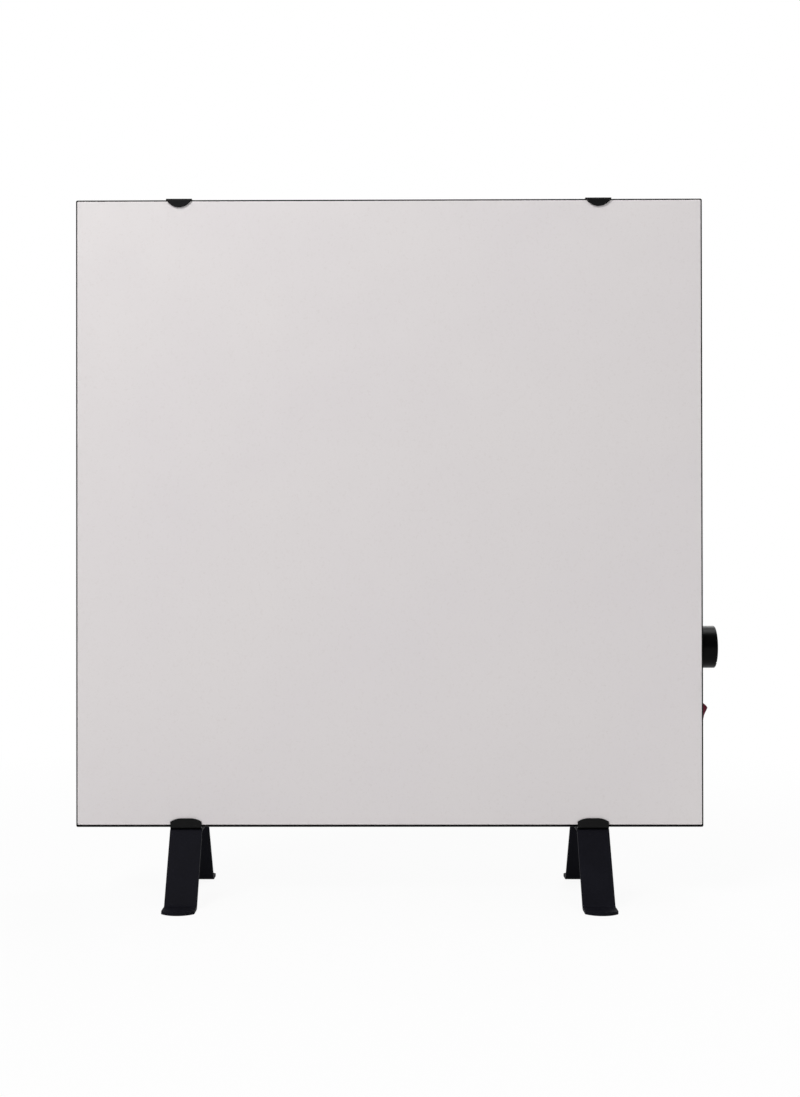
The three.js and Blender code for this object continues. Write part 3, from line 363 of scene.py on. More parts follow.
world = bpy.data.worlds.new("Studio")
world.use_nodes = True
sky = world.node_tree
sky.nodes.clear()
heading = add(sky, "ShaderNodeSeparateXYZ", {0: add(sky, "ShaderNodeTexCoord").outputs["Generated"]})
behind_object = add(
    sky, "ShaderNodeMapRange", {"Value": heading.outputs["Y"], "From Min": DARK_UNTIL, "From Max": WHITE_FROM}
)
mirrored = add(
    sky, "ShaderNodeMix", {0: behind_object.outputs[0], 6: DARK_ROOM, 7: WHITE}, data_type="RGBA"
)
from_camera = add(sky, "ShaderNodeLightPath").outputs["Is Camera Ray"]
shown = add(sky, "ShaderNodeMix", {0: from_camera, 6: mirrored.outputs[2], 7: WHITE}, data_type="RGBA")
room = add(
    sky, "ShaderNodeMix", {0: seen_directly(sky), 6: WORLD_GREY, 7: shown.outputs[2]}, data_type="RGBA"
)
background = add(sky, "ShaderNodeBackground", {"Color": room.outputs[2], "Strength": 1.0})
add(sky, "ShaderNodeOutputWorld", {"Surface": background.outputs[0]})
scene.world = world

FLOOR_HALF = 8.0
NEAR_GLOW, NEAR_UNTIL, FAR_FROM = 0.93, 0.35, 1.3

floor_material, floor_tree, floor_shader, floor_place = start_material("Matt white floor", "#d2d2d2", 0.9)
floor_light = add(floor_tree, "ShaderNodeEmission", {"Color": WHITE, "Strength": 1.0})
away = add(floor_tree, "ShaderNodeVectorMath", {0: floor_place}, operation="LENGTH")
glow = add(
    floor_tree,
    "ShaderNodeMapRange",
    {
        "Value": away.outputs["Value"],
        "From Min": NEAR_UNTIL,
        "From Max": FAR_FROM,
        "To Min": NEAR_GLOW,
        "To Max": 1.0,
    },
)
share = add(
    floor_tree, "ShaderNodeMath", {0: seen_directly(floor_tree), 1: glow.outputs[0]}, operation="MULTIPLY"
)
floor_mix = add(
    floor_tree,
    "ShaderNodeMixShader",
    {0: share.outputs[0], 1: floor_shader.outputs[0], 2: floor_light.outputs[0]},
)
floor_tree.links.new(floor_mix.outputs[0], floor_tree.nodes["Material Output"].inputs["Surface"])

floor_bm = bmesh.new()
bmesh.ops.create_grid(floor_bm, x_segments=1, y_segments=1, size=FLOOR_HALF)
floor_mesh = bpy.data.meshes.new("studio_floor")
floor_bm.to_mesh(floor_mesh)
floor_bm.free()
floor_mesh.materials.append(floor_material)
put_in_scene("studio_floor", floor_mesh)
print("floor", 2 * FLOOR_HALF, "m wide")

# %% [markdown]
# In the photograph the tile is brightest at its upper left and fades to its lower right, so the main lamp is
# large and stands at the upper left in front. A weaker one at the right keeps the other side open. One above
# and behind draws the soft band near the top of the knob and leaves the tile alone, and one behind lights the
# back for whoever looks there.

# %% Lamps
def lamp(name, place, target, size, watts):
    """A square soft lamp that looks at a point."""
    light = bpy.data.lights.new(name, "AREA")
    light.shape = "SQUARE"
    light.size = size
    light.energy = watts
    holder = put_in_scene(name, light)
    holder.location = place
    holder.rotation_euler = (Vector(target) - Vector(place)).to_track_quat("-Z", "Y").to_euler()


lamp("key lamp", place=(-1.1, -1.6, 2.1), target=(0, 0, 0.4), size=1.0, watts=48)
lamp("fill lamp", place=(1.8, -1.6, 1.3), target=(0, 0, 0.35), size=1.4, watts=5)
lamp("top lamp", place=(0.55, 0.2, 1.7), target=(0.3, 0, 0.25), size=0.6, watts=9)
lamp("back lamp", place=(0.6, 1.9, 1.5), target=(0, 0, 0.35), size=1.4, watts=16)
scene.view_settings.view_transform = "Standard"
print(len(bpy.data.lights), "lamps")

# %% [markdown]
# ## Finishes
# Each material starts from the real one and how its surface was made. A picture of each surface could be
# wrapped round its piece, but noise on object coordinates needs no file and no unwrapping, and has no seams.
# Its scale comes from a size in millimetres. One millimetre is about one pixel here, so moulded skins, turning
# lines, felt and the pebbles of the paints are drawn coarser than they are, as coarse as they need to show.
#
# The tile is glazed porcelain stoneware, pressed, glazed and fired: a pale warm grey with a satin sheen. Its
# colour drifts a little over decimetres, fine grains show in the glaze, and the surface has the slight
# orange peel of a fired glaze. Behind the glaze the body is bare and more yellow. One material holds both, told
# apart by depth, because a glaze is only the skin of its tile.

# %% Glazed tile
GLAZE_THICKNESS = 0.0006
DRIFT_MM, GRAIN_MM, SHEEN_MM, PEEL_MM = 180, 2.2, 45, 4

glaze, tree, shader, place = start_material("Satin glazed porcelain stoneware", "#d8d4d3", 0.36, ior=1.52)
drift = add(tree, "ShaderNodeTexNoise", {"Vector": place, "Scale": per(DRIFT_MM), "Detail": 2.0})
toned = add(
    tree,
    "ShaderNodeMix",
    {0: drift.outputs["Fac"], 6: linear("#d6d1d3"), 7: linear("#dad6d5")},
    data_type="RGBA",
)
grains = add(
    tree, "ShaderNodeTexNoise", {"Vector": place, "Scale": per(GRAIN_MM), "Detail": 3.0, "Roughness": 0.7}
)
grain_share = add(
    tree,
    "ShaderNodeMapRange",
    {"Value": grains.outputs["Fac"], "From Min": 0.56, "From Max": 0.74, "To Min": 0.0, "To Max": 0.22},
)
speckled = add(
    tree,
    "ShaderNodeMix",
    {0: grain_share.outputs[0], 6: toned.outputs[2], 7: linear("#bdb5b1")},
    data_type="RGBA",
)
depth = add(tree, "ShaderNodeSeparateXYZ", {0: place}).outputs["Y"]
behind = add(tree, "ShaderNodeMath", {0: depth, 1: tile_low.y + GLAZE_THICKNESS}, operation="GREATER_THAN")
biscuit = add(
    tree, "ShaderNodeMix", {0: behind.outputs[0], 6: speckled.outputs[2], 7: linear("#a99d8d")}, data_type="RGBA"
)
tree.links.new(biscuit.outputs[2], shader.inputs["Base Color"])
sheen = add(tree, "ShaderNodeTexNoise", {"Vector": place, "Scale": per(SHEEN_MM), "Detail": 3.0})
peel = add(tree, "ShaderNodeTexNoise", {"Vector": place, "Scale": per(PEEL_MM), "Detail": 2.0})
lay_patterns(
    tree, shader, gloss=(sheen.outputs["Fac"], 0.3, 0.7, 0.32, 0.4), relief=(peel.outputs["Fac"], 0.25, 0.08)
)

# %% [markdown]
# The casing, its clips and its cover are sheet steel with a baked powder coat. Powder melts into a fine
# pebbled skin, satin and nearly black. The feet are painted thick strip: duller, and in the photograph a touch
# bluer than the clips. Both are baked paint, so one function makes them from tone, gloss and grain.

# %% Powder coat and foot paint
CLOUD_MM = 35


def coat_of_paint(name, dark, light, smooth, rough, shine, grain_mm, relief_mm):
    """Baked paint on steel: a slow change of shade, a pebbled skin and uneven gloss."""
    material, tree, shader, place = start_material(name, dark, smooth, gloss=shine)
    cloud = add(tree, "ShaderNodeTexNoise", {"Vector": place, "Scale": per(CLOUD_MM), "Detail": 4.0})
    pebbles = add(tree, "ShaderNodeTexNoise", {"Vector": place, "Scale": per(grain_mm), "Detail": 2.0})
    cloudy, pebbled = cloud.outputs["Fac"], pebbles.outputs["Fac"]
    mixed = add(tree, "ShaderNodeMath", {0: cloudy, 1: pebbled}, operation="MULTIPLY")
    share = add(tree, "ShaderNodeMapRange", {"Value": mixed.outputs[0], "From Min": 0.15, "From Max": 0.4})
    lay_patterns(
        tree,
        shader,
        shade=(share.outputs[0], dark, light),
        gloss=(cloudy, 0.3, 0.7, smooth, rough),
        relief=(pebbled, 0.5, relief_mm),
    )
    return material


powder_coat = coat_of_paint(
    "Black powder coat", "#0a0a0a", "#0f0f10", smooth=0.42, rough=0.52, shine=0.13, grain_mm=0.6, relief_mm=0.06
)
foot_coat = coat_of_paint(
    "Blue-black stove paint", "#131318", "#18181e", smooth=0.5, rough=0.6, shine=0.02, grain_mm=1.2, relief_mm=0.03
)

# %% [markdown]
# Small metal parts: black oxidised screws, bright zinc plate with fine turning lines, and the hot-dipped tray
# whose zinc froze into flat crystals about 8 mm across. Turning lines could be an anisotropic gloss, but on
# parts this small a fine noise in tone, gloss and relief looks the same. The crystals are the cells of a Voronoi
# pattern, because frozen zinc grows from scattered points in that way. The foil's creases are edges of cells.

# %% Metals
def plated_metal(name, colour, other, roughness, grain_mm):
    """Plated or oxidised metal with fine lines and a slightly uneven tone."""
    material, tree, shader, place = start_material(name, colour, roughness, metallic=1.0)
    noise = add(tree, "ShaderNodeTexNoise", {"Vector": place, "Scale": per(grain_mm), "Detail": 3.0})
    lines = noise.outputs["Fac"]
    lay_patterns(
        tree,
        shader,
        shade=(lines, colour, other),
        gloss=(lines, 0, 1, roughness - 0.06, roughness + 0.08),
        relief=(lines, 0.2, 0.02),
    )
    return material


black_oxide = plated_metal("Black oxidised steel", "#26262a", "#34343a", roughness=0.4, grain_mm=0.8)
bright_zinc = plated_metal("Bright zinc plate", "#b4b6b8", "#c9c8c2", roughness=0.3, grain_mm=0.5)

SPANGLE_MM = 8
galvanised, tree, shader, place = start_material("Hot-dip galvanised sheet", "#a9adb0", 0.38, metallic=1.0)
spangle = add(tree, "ShaderNodeTexVoronoi", {"Vector": place, "Scale": per(SPANGLE_MM)})
crystal = add(tree, "ShaderNodeSeparateColor", {0: spangle.outputs["Color"]}).outputs
lay_patterns(tree, shader, shade=(crystal[0], "#9ea3a7", "#bcc0c2"), gloss=(crystal[1], 0, 1, 0.3, 0.5))

CREASE_MM = 25
foil, tree, shader, place = start_material("Rolled aluminium foil", "#d9dadb", 0.2, metallic=1.0)
creases = add(
    tree, "ShaderNodeTexVoronoi", {"Vector": place, "Scale": per(CREASE_MM)}, feature="DISTANCE_TO_EDGE"
)
lay_patterns(tree, shader, relief=(creases.outputs[0], 0.4, 0.6))

# %% [markdown]
# Inside are soft and fibrous sheets. Mineral wool is yellow-brown with tangled fibres, mica board shows
# pearly flakes, the seal is charcoal felt, and the heating cable has a red silicone sheath. Fibres could be
# thousands of curves, but these sheets only show when the heater is opened, so a twisted noise stands for them.

# %% Insulation, mica, felt and sheath
def fibrous(name, dark, light, roughness, fibre_mm, relief_mm, stretch=(1, 1, 1)):
    """A sheet whose grain is stretched along its fibres."""
    material, tree, shader, place = start_material(name, dark, roughness, ior=1.45)
    along = add(tree, "ShaderNodeMapping", {"Vector": place, "Scale": stretch}).outputs[0]
    noise = add(
        tree,
        "ShaderNodeTexNoise",
        {"Vector": along, "Scale": per(fibre_mm), "Detail": 5.0, "Distortion": 1.2},
    )
    fibres = noise.outputs["Fac"]
    lay_patterns(tree, shader, shade=(fibres, dark, light), relief=(fibres, 0.6, relief_mm))
    return material


mineral_wool = fibrous("Mineral wool board", "#8d7433", "#c2ab63", 0.95, 6, 0.8, stretch=(1, 1, 3))
mica_board = fibrous("Pressed mica board", "#8f8268", "#bdb196", 0.55, 5, 0.1)
seal_felt = fibrous("Charcoal needle felt", "#1f1f20", "#37373a", 0.95, 1.2, 0.3)
silicone_sheath = fibrous("Red silicone sheath", "#5d1614", "#7c221d", 0.55, 3, 0.05)

# %% [markdown]
# The mouldings: the knob, bezel and gland are black polyamide with a fine spark-eroded skin, the rocker is
# glossy dark red polycarbonate, the thermostat and cut-out are brown-black phenolic, and the terminal block
# is unglazed steatite. Wire sleeves are smooth extruded silicone. A mould leaves a fine skin and an even tone,
# so one function lays a fine noise on the gloss and the relief and a slow one on the colour. The sleeve of the
# earth wire is extruded in two colours, which a wrapped diagonal turns into stripes of 4 and 2 mm.

# %% Mouldings and wire sleeves
SLOW_MM = 20
STRIPE_PITCH, GREEN_WIDTH = 0.006, 0.004


def moulded(name, colour, other, roughness, grain_mm, relief_mm, ior=1.5, shine=0.35):
    """Moulded or extruded plastic: nearly even, with the skin that its mould left."""
    material, tree, shader, place = start_material(name, colour, roughness, ior=ior, gloss=shine)
    fine = add(tree, "ShaderNodeTexNoise", {"Vector": place, "Scale": per(grain_mm), "Detail": 2.0})
    slow = add(tree, "ShaderNodeTexNoise", {"Vector": place, "Scale": per(SLOW_MM), "Detail": 2.0})
    skin_grain = fine.outputs["Fac"]
    lay_patterns(
        tree,
        shader,
        shade=(slow.outputs["Fac"], colour, other),
        gloss=(skin_grain, 0, 1, roughness - 0.05, roughness + 0.05),
        relief=(skin_grain, 0.4, relief_mm),
    )
    return material


black_polyamide = moulded("Moulded black polyamide", "#020203", "#040404", 0.34, 0.5, 0.02, 1.53, 0.06)
red_polycarbonate = moulded("Glossy red polycarbonate", "#6a2636", "#742a3b", 0.24, 3, 0.005, 1.58, 0.1)
phenolic = moulded("Moulded phenolic", "#241b19", "#322724", 0.45, 1.0, 0.02, 1.6)
steatite = moulded("Unglazed steatite", "#ded7c8", "#ebe5d8", 0.62, 0.8, 0.05, 1.58)
white_print = moulded("White screen-printing ink", "#d9d8d4", "#e2e1dd", 0.5, 0.4, 0.01)
brown_sleeve = moulded("Brown silicone sleeve", "#55341f", "#633f28", 0.48, 2, 0.01, 1.43)
blue_sleeve = moulded("Blue silicone sleeve", "#274a8c", "#2f569c", 0.48, 2, 0.01, 1.43)

green_sleeve, tree, shader, place = start_material("Green and yellow sleeve", "#5f8f2b", 0.48, ior=1.43)
upright = add(tree, "ShaderNodeSeparateXYZ", {0: place}).outputs
diagonal = add(tree, "ShaderNodeMath", {0: upright[0], 1: upright[2]}, operation="ADD")
bands = add(tree, "ShaderNodeMath", {0: diagonal.outputs[0], 1: STRIPE_PITCH, 2: 0.0}, operation="WRAP")
striped = add(tree, "ShaderNodeMath", {0: bands.outputs[0], 1: GREEN_WIDTH}, operation="GREATER_THAN")
lay_patterns(tree, shader, shade=(striped.outputs[0], "#3f7d2c", "#d3c02b"))

# %% [markdown]
# The record gives every CAD node a slot that says what it is made of. Each slot gets its finish here, so the
# nodes that stay as they are, such as the wires and the inner sheets, are dressed at once. They could be set
# one by one, but then a node that is added later would stay bare.

# %% Dress the CAD nodes
finishes = {
    "glazed_tile": glaze,
    "black_paint": powder_coat,
    "foot_paint": foot_coat,
    "black_screw": black_oxide,
    "zinc_screw": bright_zinc,
    "galvanised": galvanised,
    "foil": foil,
    "wool": mineral_wool,
    "mica": mica_board,
    "felt": seal_felt,
    "cable_sheath": silicone_sheath,
    "black_plastic": black_polyamide,
    "red_plastic": red_polycarbonate,
    "bakelite": phenolic,
    "steatite": steatite,
    "brown_wire": brown_sleeve,
    "blue_wire": blue_sleeve,
    "green_wire": green_sleeve,
}
slot_of = {row["node"]: row["material_slot"] for row in frame["record"]["subparts"]}
for name, node in nodes.items():
    for material_slot in node.material_slots:
        material_slot.material = finishes[slot_of[name]]
print(len(nodes), "nodes dressed with", len(finishes), "finishes")

# %% [markdown]
# ## The tile
# A stoneware tile has straight ground sides, tight corners and a fine rounded arris, over which the glaze
# runs. It sits a little high in its rim. A cube with a Bevel modifier would give corners and arris the same
# radius, so rings of a rounded rectangle, one for each step of the arris, are skinned into a slab. An extra ring
# just inside the arris keeps the large face flat under smooth shading.

# %% Tile
TILE_CORNER = 1.0
TILE_ARRIS = 0.6
FACE_GUARD = 1.5
TIGHTEST_CORNER = 0.15


def slab_rings(half_x, half_z, corner, depths, rise=0.0):
    """Rounded rectangles for (inset, depth) pairs, from the front to the back."""
    rings = []
    for inset, depth in depths:
        outline = rounded_rectangle(half_x - inset, half_z - inset, max(corner - inset, TIGHTEST_CORNER))
        rings.append([Vector((x, depth, z)) + Vector((0, 0, rise)) for x, z in outline])
    return rings


tile_low_mm, tile_high_mm = node_box("ceramic_tile")
tile_rise = (tile_low_mm.z + tile_high_mm.z) / 2
front_arris = quarter((TILE_ARRIS, TILE_ARRIS), TILE_ARRIS, 270, 180)
rear_arris = quarter((TILE_ARRIS, tile_high_mm.y - TILE_ARRIS), TILE_ARRIS, 180, 90)
guard = TILE_ARRIS + FACE_GUARD
tile_depths = [(guard, 0), *front_arris, *rear_arris, (guard, tile_high_mm.y)]
rings = slab_rings(tile_high_mm.x, tile_high_mm.z - tile_rise, TILE_CORNER, tile_depths, tile_rise)
tile = skinned("porcelain_tile", rings, glaze)
weigh_normals(tile)
hand_over(tile, "heater", "glazed_tile", "ceramic_tile")

# %% [markdown]
# ## The casing
# The casing is one folded sheet: a hem at the front, a ledge that carries the tile, and a flange at the back
# for the cover. An open box with a Solidify modifier would have the walls but no hem. Here its section is a
# closed line of (inset, depth) pairs, with the radii that a press brake leaves, and it is carried round the
# panel's rounded rectangle, so that folds and walls are one skin.

# %% Folded casing
SHEET = 1.0
RIM_FRONT = (casing_low.y - tile_low.y) * MM_PER_METRE
LEDGE_FRONT, LEDGE_BACK, LEDGE_INSET = 12.0, 13.0, 15.0
FLANGE_INSET = 19.0
CASING_CORNER = 1.5
FOLD_OUTSIDE, FOLD_INSIDE = 1.5, 0.5
hem = SHEET / 2

section = [
    *quarter((hem, RIM_FRONT + hem), hem, 0, -180, 8),
    *quarter((FOLD_OUTSIDE, casing_depth - FOLD_OUTSIDE), FOLD_OUTSIDE, 180, 90),
    *quarter((FLANGE_INSET - hem, casing_depth - hem), hem, 90, -90),
    *quarter((SHEET + FOLD_INSIDE, casing_depth - SHEET - FOLD_INSIDE), FOLD_INSIDE, 90, 180, 3),
    (SHEET, LEDGE_BACK),
    *quarter((LEDGE_INSET - hem, LEDGE_BACK - hem), hem, 90, -90),
    (SHEET, LEDGE_FRONT),
]
rings = slab_rings(half_width, half_height, CASING_CORNER, section)
casing = skinned("folded_casing", rings, powder_coat, closed=True)
print("section of", len(section), "points")

# %% [markdown]
# Screws, rivets and controls go through the casing, so its holes are cut where their CAD nodes sit. A hole
# is a rod or a block that reaches through the sheet, and a Boolean modifier takes it away. Holes could also be
# built into the mesh, but every ring of the casing would then need points for them. The clips and the feet get
# their holes from the same function.

# %% Holes in the casing
SIDES = ("left", "right")
NECK_SCREWS = ["thermostat_screw_lower", "thermostat_screw_upper"]
FOOT_SCREWS = {side: [f"foot_screw_{side}_{end}" for end in ("front", "rear")] for side in SIDES}
COVER_SCREWS = [f"cover_screw_{index}" for index in range(1, 9)]
NECK_HOLE, RIVET_HOLE, FOOT_HOLE, COVER_HOLE = 2.2, 2.1, 2.8, 2.0
SEAT_GAP = 0.3
NECK_RADIUS = 4.6
BEZEL_SIDE, BEZEL_END = 1.0, 0.9
CUT_REACH = 4.0
through_x = (1, 0, 0)


def rod(name, centre, axis, radius, reach, material=powder_coat):
    """A round bar through a point, as a cutter or a pin."""
    profile = [(0, -reach), (radius, -reach), (radius, reach), (0, reach)]
    return piece_from(name, lathe(profile, axis, centre), material)


def block(name, low, high, material=powder_coat):
    """A box between two corners, as a cutter or a bar."""
    bm = bmesh.new()
    bmesh.ops.create_cube(bm, size=1)
    middle, size = (Vector(low) + Vector(high)) / 2, Vector(high) - Vector(low)
    for vert in bm.verts:
        vert.co = middle + vert.co * size
    return piece_from(name, bm, material)


def bore(node_name, axis, level, radius):
    """A cutter for a screw's hole. It runs along axis 0, 1 or 2 and meets a wall at that level."""
    spot, along = node_middle(node_name), Vector()
    spot[axis], along[axis] = level, 1
    return rod("hole", spot, along, radius, CUT_REACH)


knob_low, knob_high = node_box("thermostat_knob")
knob_centre = node_middle("thermostat_knob")
knob_centre.x = half_width
housing_low, housing_high = node_box("switch_housing")
switch_centre = node_middle("switch_housing")
switch_half_y = (housing_high.y - housing_low.y) / 2 - BEZEL_SIDE
switch_half_z = (housing_high.z - housing_low.z) / 2 - BEZEL_END
slot_middle = Vector((half_width, switch_centre.y, switch_centre.z))
slot_half = Vector((CUT_REACH, switch_half_y + SEAT_GAP, switch_half_z + SEAT_GAP))

holes = [
    rod("hole", knob_centre, through_x, NECK_RADIUS + SEAT_GAP, CUT_REACH),
    block("hole", slot_middle - slot_half, slot_middle + slot_half),
]
holes += [bore(name, 0, half_width, NECK_HOLE) for name in NECK_SCREWS]
for side in SIDES:
    holes.append(bore(f"top_clip_rivet_{side}", 2, half_height, RIVET_HOLE))
    holes += [bore(name, 2, -half_height, FOOT_HOLE) for name in FOOT_SCREWS[side]]
holes += [bore(name, 1, casing_depth, COVER_HOLE) for name in COVER_SCREWS]
print(len(holes), "holes in the casing")
cut(casing, holes)

# %% [markdown]
# Eleven plain ticks are printed on the casing round the knob. Ink has next to no thickness. A thin face laid on
# the sheet could flicker where the two meet, so each tick is a shallow cut, and its floor shows the cutter's own
# material.

# %% Ticks of the dial
DIAL_START, DIAL_SWEEP, DIAL_STEPS = 225.0, 270.0, 10
TICK_FROM, TICK_TO, TICK_HALF = 21.4, 23.4, 0.3
INK_DEPTH, INK_OVER = 0.06, 1.0

ticks = []
for step in range(DIAL_STEPS + 1):
    tick = block("tick", (-INK_DEPTH, -TICK_HALF, TICK_FROM), (INK_OVER, TICK_HALF, TICK_TO), white_print)
    turn = math.radians(-DIAL_START - DIAL_SWEEP * step / DIAL_STEPS)
    carry(tick, Matrix.Translation(knob_centre) @ Matrix.Rotation(turn, 4, "X"))
    ticks.append(tick)
cut(casing, ticks, painted=True)
weigh_normals(casing)
hand_over(casing, "heater", "black_paint", "casing")

# %% [markdown]
# ## Clips and feet
# Clips and feet are strips bent on a brake. A strip is a line of points with headings: straight runs joined by
# arcs. At each point a rectangular section is laid across it. A curve with a profile would follow the bends
# too, but it couldn't give the ends their outline. Here the section narrows along the arc of an end. The
# sheared edges are broken with a fine bevel.

# %% Helpers for bent strip
def bent_line(corners, radius, steps=10):
    """Points and headings along corner points, turning on arcs."""
    points = [Vector(corner) for corner in corners]
    line = [(points[0], (points[1] - points[0]).normalized())]
    for before, corner, after in zip(points, points[1:], points[2:]):
        come, leave = (corner - before).normalized(), (after - corner).normalized()
        turn = math.atan2(come.x * leave.y - come.y * leave.x, come.dot(leave))
        inward = Vector((-come.y, come.x)) * math.copysign(1, turn)
        centre = corner - come * radius * math.tan(abs(turn) / 2) + inward * radius
        for step in range(steps + 1):
            rotation = Matrix.Rotation(turn * step / steps, 2)
            line.append((centre - rotation @ inward * radius, rotation @ come))
    line.append((points[-1], (points[-1] - points[-2]).normalized()))
    return line


def round_end(half, bulge):
    """The half width near an end that is one arc, as a function of the distance from the tip."""
    radius = (half ** 2 + bulge ** 2) / (2 * bulge)
    return bulge, lambda d: math.sqrt(max(radius ** 2 - (radius - d) ** 2, 0)) if d < bulge else half


def level_end(half, level, drop):
    """The half width near an end with a level middle and two arcs that fall to the sides."""
    reach = half - level
    radius = (reach ** 2 + drop ** 2) / (2 * drop)
    return drop, lambda d: level + math.sqrt(max(radius ** 2 - (radius - d) ** 2, 0)) if d < drop else half


def round_corners(half, radius):
    """The half width near a straight end with two rounded corners."""
    return radius, lambda d: half - radius + math.sqrt(max(radius ** 2 - (radius - min(d, radius)) ** 2, 0))


END_STEPS = 14
NARROWEST = 0.5
CLOSEST = 0.005
ROUNDING = 1e-9


def strip_rings(x, line, thickness, half, start, finish):
    """Sections of a strip across a line in (Y, Z), narrowed towards both ends."""
    lengths = [0.0]
    for (here, _), (following, _) in zip(line, line[1:]):
        lengths.append(lengths[-1] + (following - here).length)
    total = lengths[-1]
    steps = [1 - math.cos(math.pi / 2 * step / END_STEPS) for step in range(END_STEPS + 1)]
    marks = lengths + [start[0] * s for s in steps] + [total - finish[0] * s for s in steps]
    rings = []
    previous = -1.0
    for mark in sorted(marks):
        if mark - previous < CLOSEST:
            continue
        previous = mark
        index = max(i for i, length in enumerate(lengths[:-1]) if length <= mark + ROUNDING)
        share = (mark - lengths[index]) / max(lengths[index + 1] - lengths[index], ROUNDING)
        point = line[index][0].lerp(line[index + 1][0], share)
        heading = line[index][1].lerp(line[index + 1][1], share).normalized()
        across = Vector((-heading.y, heading.x)) * thickness / 2
        reach = max(min(half, start[1](mark), finish[1](total - mark)), NARROWEST)
        near, far = point - across, point + across
        corners = ((-reach, near), (reach, near), (reach, far), (-reach, far))
        rings.append([Vector((x + along, corner.x, corner.y)) for along, corner in corners])
    return rings


def strip_piece(name, rings, material, edge):
    """A bent strip with broken edges."""
    piece = skinned(name, rings, material)
    soften(piece, edge)
    return piece


# %% [markdown]
# The top and bottom clips are made alike: a lip over the tile's edge, one bend, and a plate along the casing.
# They differ in width and in the line of the lip's end, so one function makes all four. A rivet holds each
# top clip, with a low dome outside and a flat tail inside. With only two of them, each is turned on its own.

# %% Top clips and their rivets
CLIP_SHEET, CLIP_BEND, CLIP_EDGE, PLATE_CORNER = 1.2, 1.2, 0.3, 3.0
TOP_CLIP_HALF, TOP_CLIP_DROP, ARC_PAST_LIP = 12.45, 7.15, 0.6
RIVET_HEAD, RIVET_SHANK, RIVET_EDGE, RIVET_DOME = 3.6, 1.8, 0.15, 0.45
RIVET_TAIL, TAIL_CHAMFER = 0.6, 0.2
DOME_ANGLES = [math.radians(15 * step) for step in range(6)]
lip_middle = -(SEAT_GAP + CLIP_SHEET / 2)


def tile_clip(place, side, wall_z, lip_z, half, lip_end, screws, hole):
    """One clip, from the tip of its lip, round its bend and back along the casing."""
    node_name = f"{place}_clip_{side}"
    low, high = node_box(node_name)
    plate_z = wall_z + math.copysign(CLIP_SHEET / 2, wall_z)
    line = bent_line([(lip_middle, lip_z), (lip_middle, plate_z), (high.y, plate_z)], CLIP_BEND)
    plate_end = round_corners(half, PLATE_CORNER)
    rings = strip_rings((low.x + high.x) / 2, line, CLIP_SHEET, half, lip_end, plate_end)
    clip = strip_piece(f"tile_clip_{place}_{side}", rings, powder_coat, CLIP_EDGE)
    cut(clip, [bore(name, 2, wall_z, hole) for name in screws])
    weigh_normals(clip)
    hand_over(clip, "heater", "black_paint", node_name)


grip = CLIP_SHEET + SHEET
rivet_line = [
    (0, -grip - RIVET_TAIL),
    (RIVET_HEAD - TAIL_CHAMFER, -grip - RIVET_TAIL),
    (RIVET_HEAD, -grip - RIVET_TAIL + TAIL_CHAMFER),
    (RIVET_HEAD, -grip),
    (RIVET_SHANK, -grip),
    (RIVET_SHANK, 0),
    (RIVET_HEAD, 0),
    *[(RIVET_HEAD * math.cos(a), RIVET_EDGE + RIVET_DOME * math.sin(a)) for a in DOME_ANGLES],
    (0, RIVET_EDGE + RIVET_DOME),
]
round_lip = round_end(TOP_CLIP_HALF, TOP_CLIP_DROP + ARC_PAST_LIP)
for side in SIDES:
    rivet_name = f"top_clip_rivet_{side}"
    lip_z = half_height - TOP_CLIP_DROP
    tile_clip("top", side, half_height, lip_z, TOP_CLIP_HALF, round_lip, [rivet_name], RIVET_HOLE)
    head_seat = node_middle(rivet_name)
    head_seat.z = half_height + CLIP_SHEET
    rivet = piece_from(f"rivet_{side}", lathe(rivet_line, (0, 0, 1), head_seat), black_oxide)
    hand_over(rivet, "heater", "black_screw", rivet_name)

# %% Bottom clips
BOTTOM_CLIP_HALF, BOTTOM_CLIP_RISE = 14.95, 8.6
LEVEL_HALF, SHOULDER_DROP = 4.0, 3.2

shoulders = level_end(BOTTOM_CLIP_HALF, LEVEL_HALF, SHOULDER_DROP)
for side in SIDES:
    lip_z = BOTTOM_CLIP_RISE - half_height
    tile_clip("bottom", side, -half_height, lip_z, BOTTOM_CLIP_HALF, shoulders, FOOT_SCREWS[side], FOOT_HOLE)

# %% [markdown]
# Each foot is one strip 31 mm wide and 3 mm thick: a toe on the floor, a leg up to the casing, a bridge under
# it with two screws, and the same again to the back. The toes end in a shallow arc. It could be five bars that
# meet, but a bent strip keeps its thickness round every bend, so it is made like the clips.

# %% Feet
FOOT_SHEET, FOOT_HALF, FOOT_BEND, TOE_BULGE = 3.0, 15.35, 5.0, 8.0
FRONT_SPREAD, FRONT_TOE, REAR_SPREAD, REAR_TOE = 42.0, 27.0, 46.0, 26.0
FOOT_EDGE = 0.6
BEND_STEPS = 12

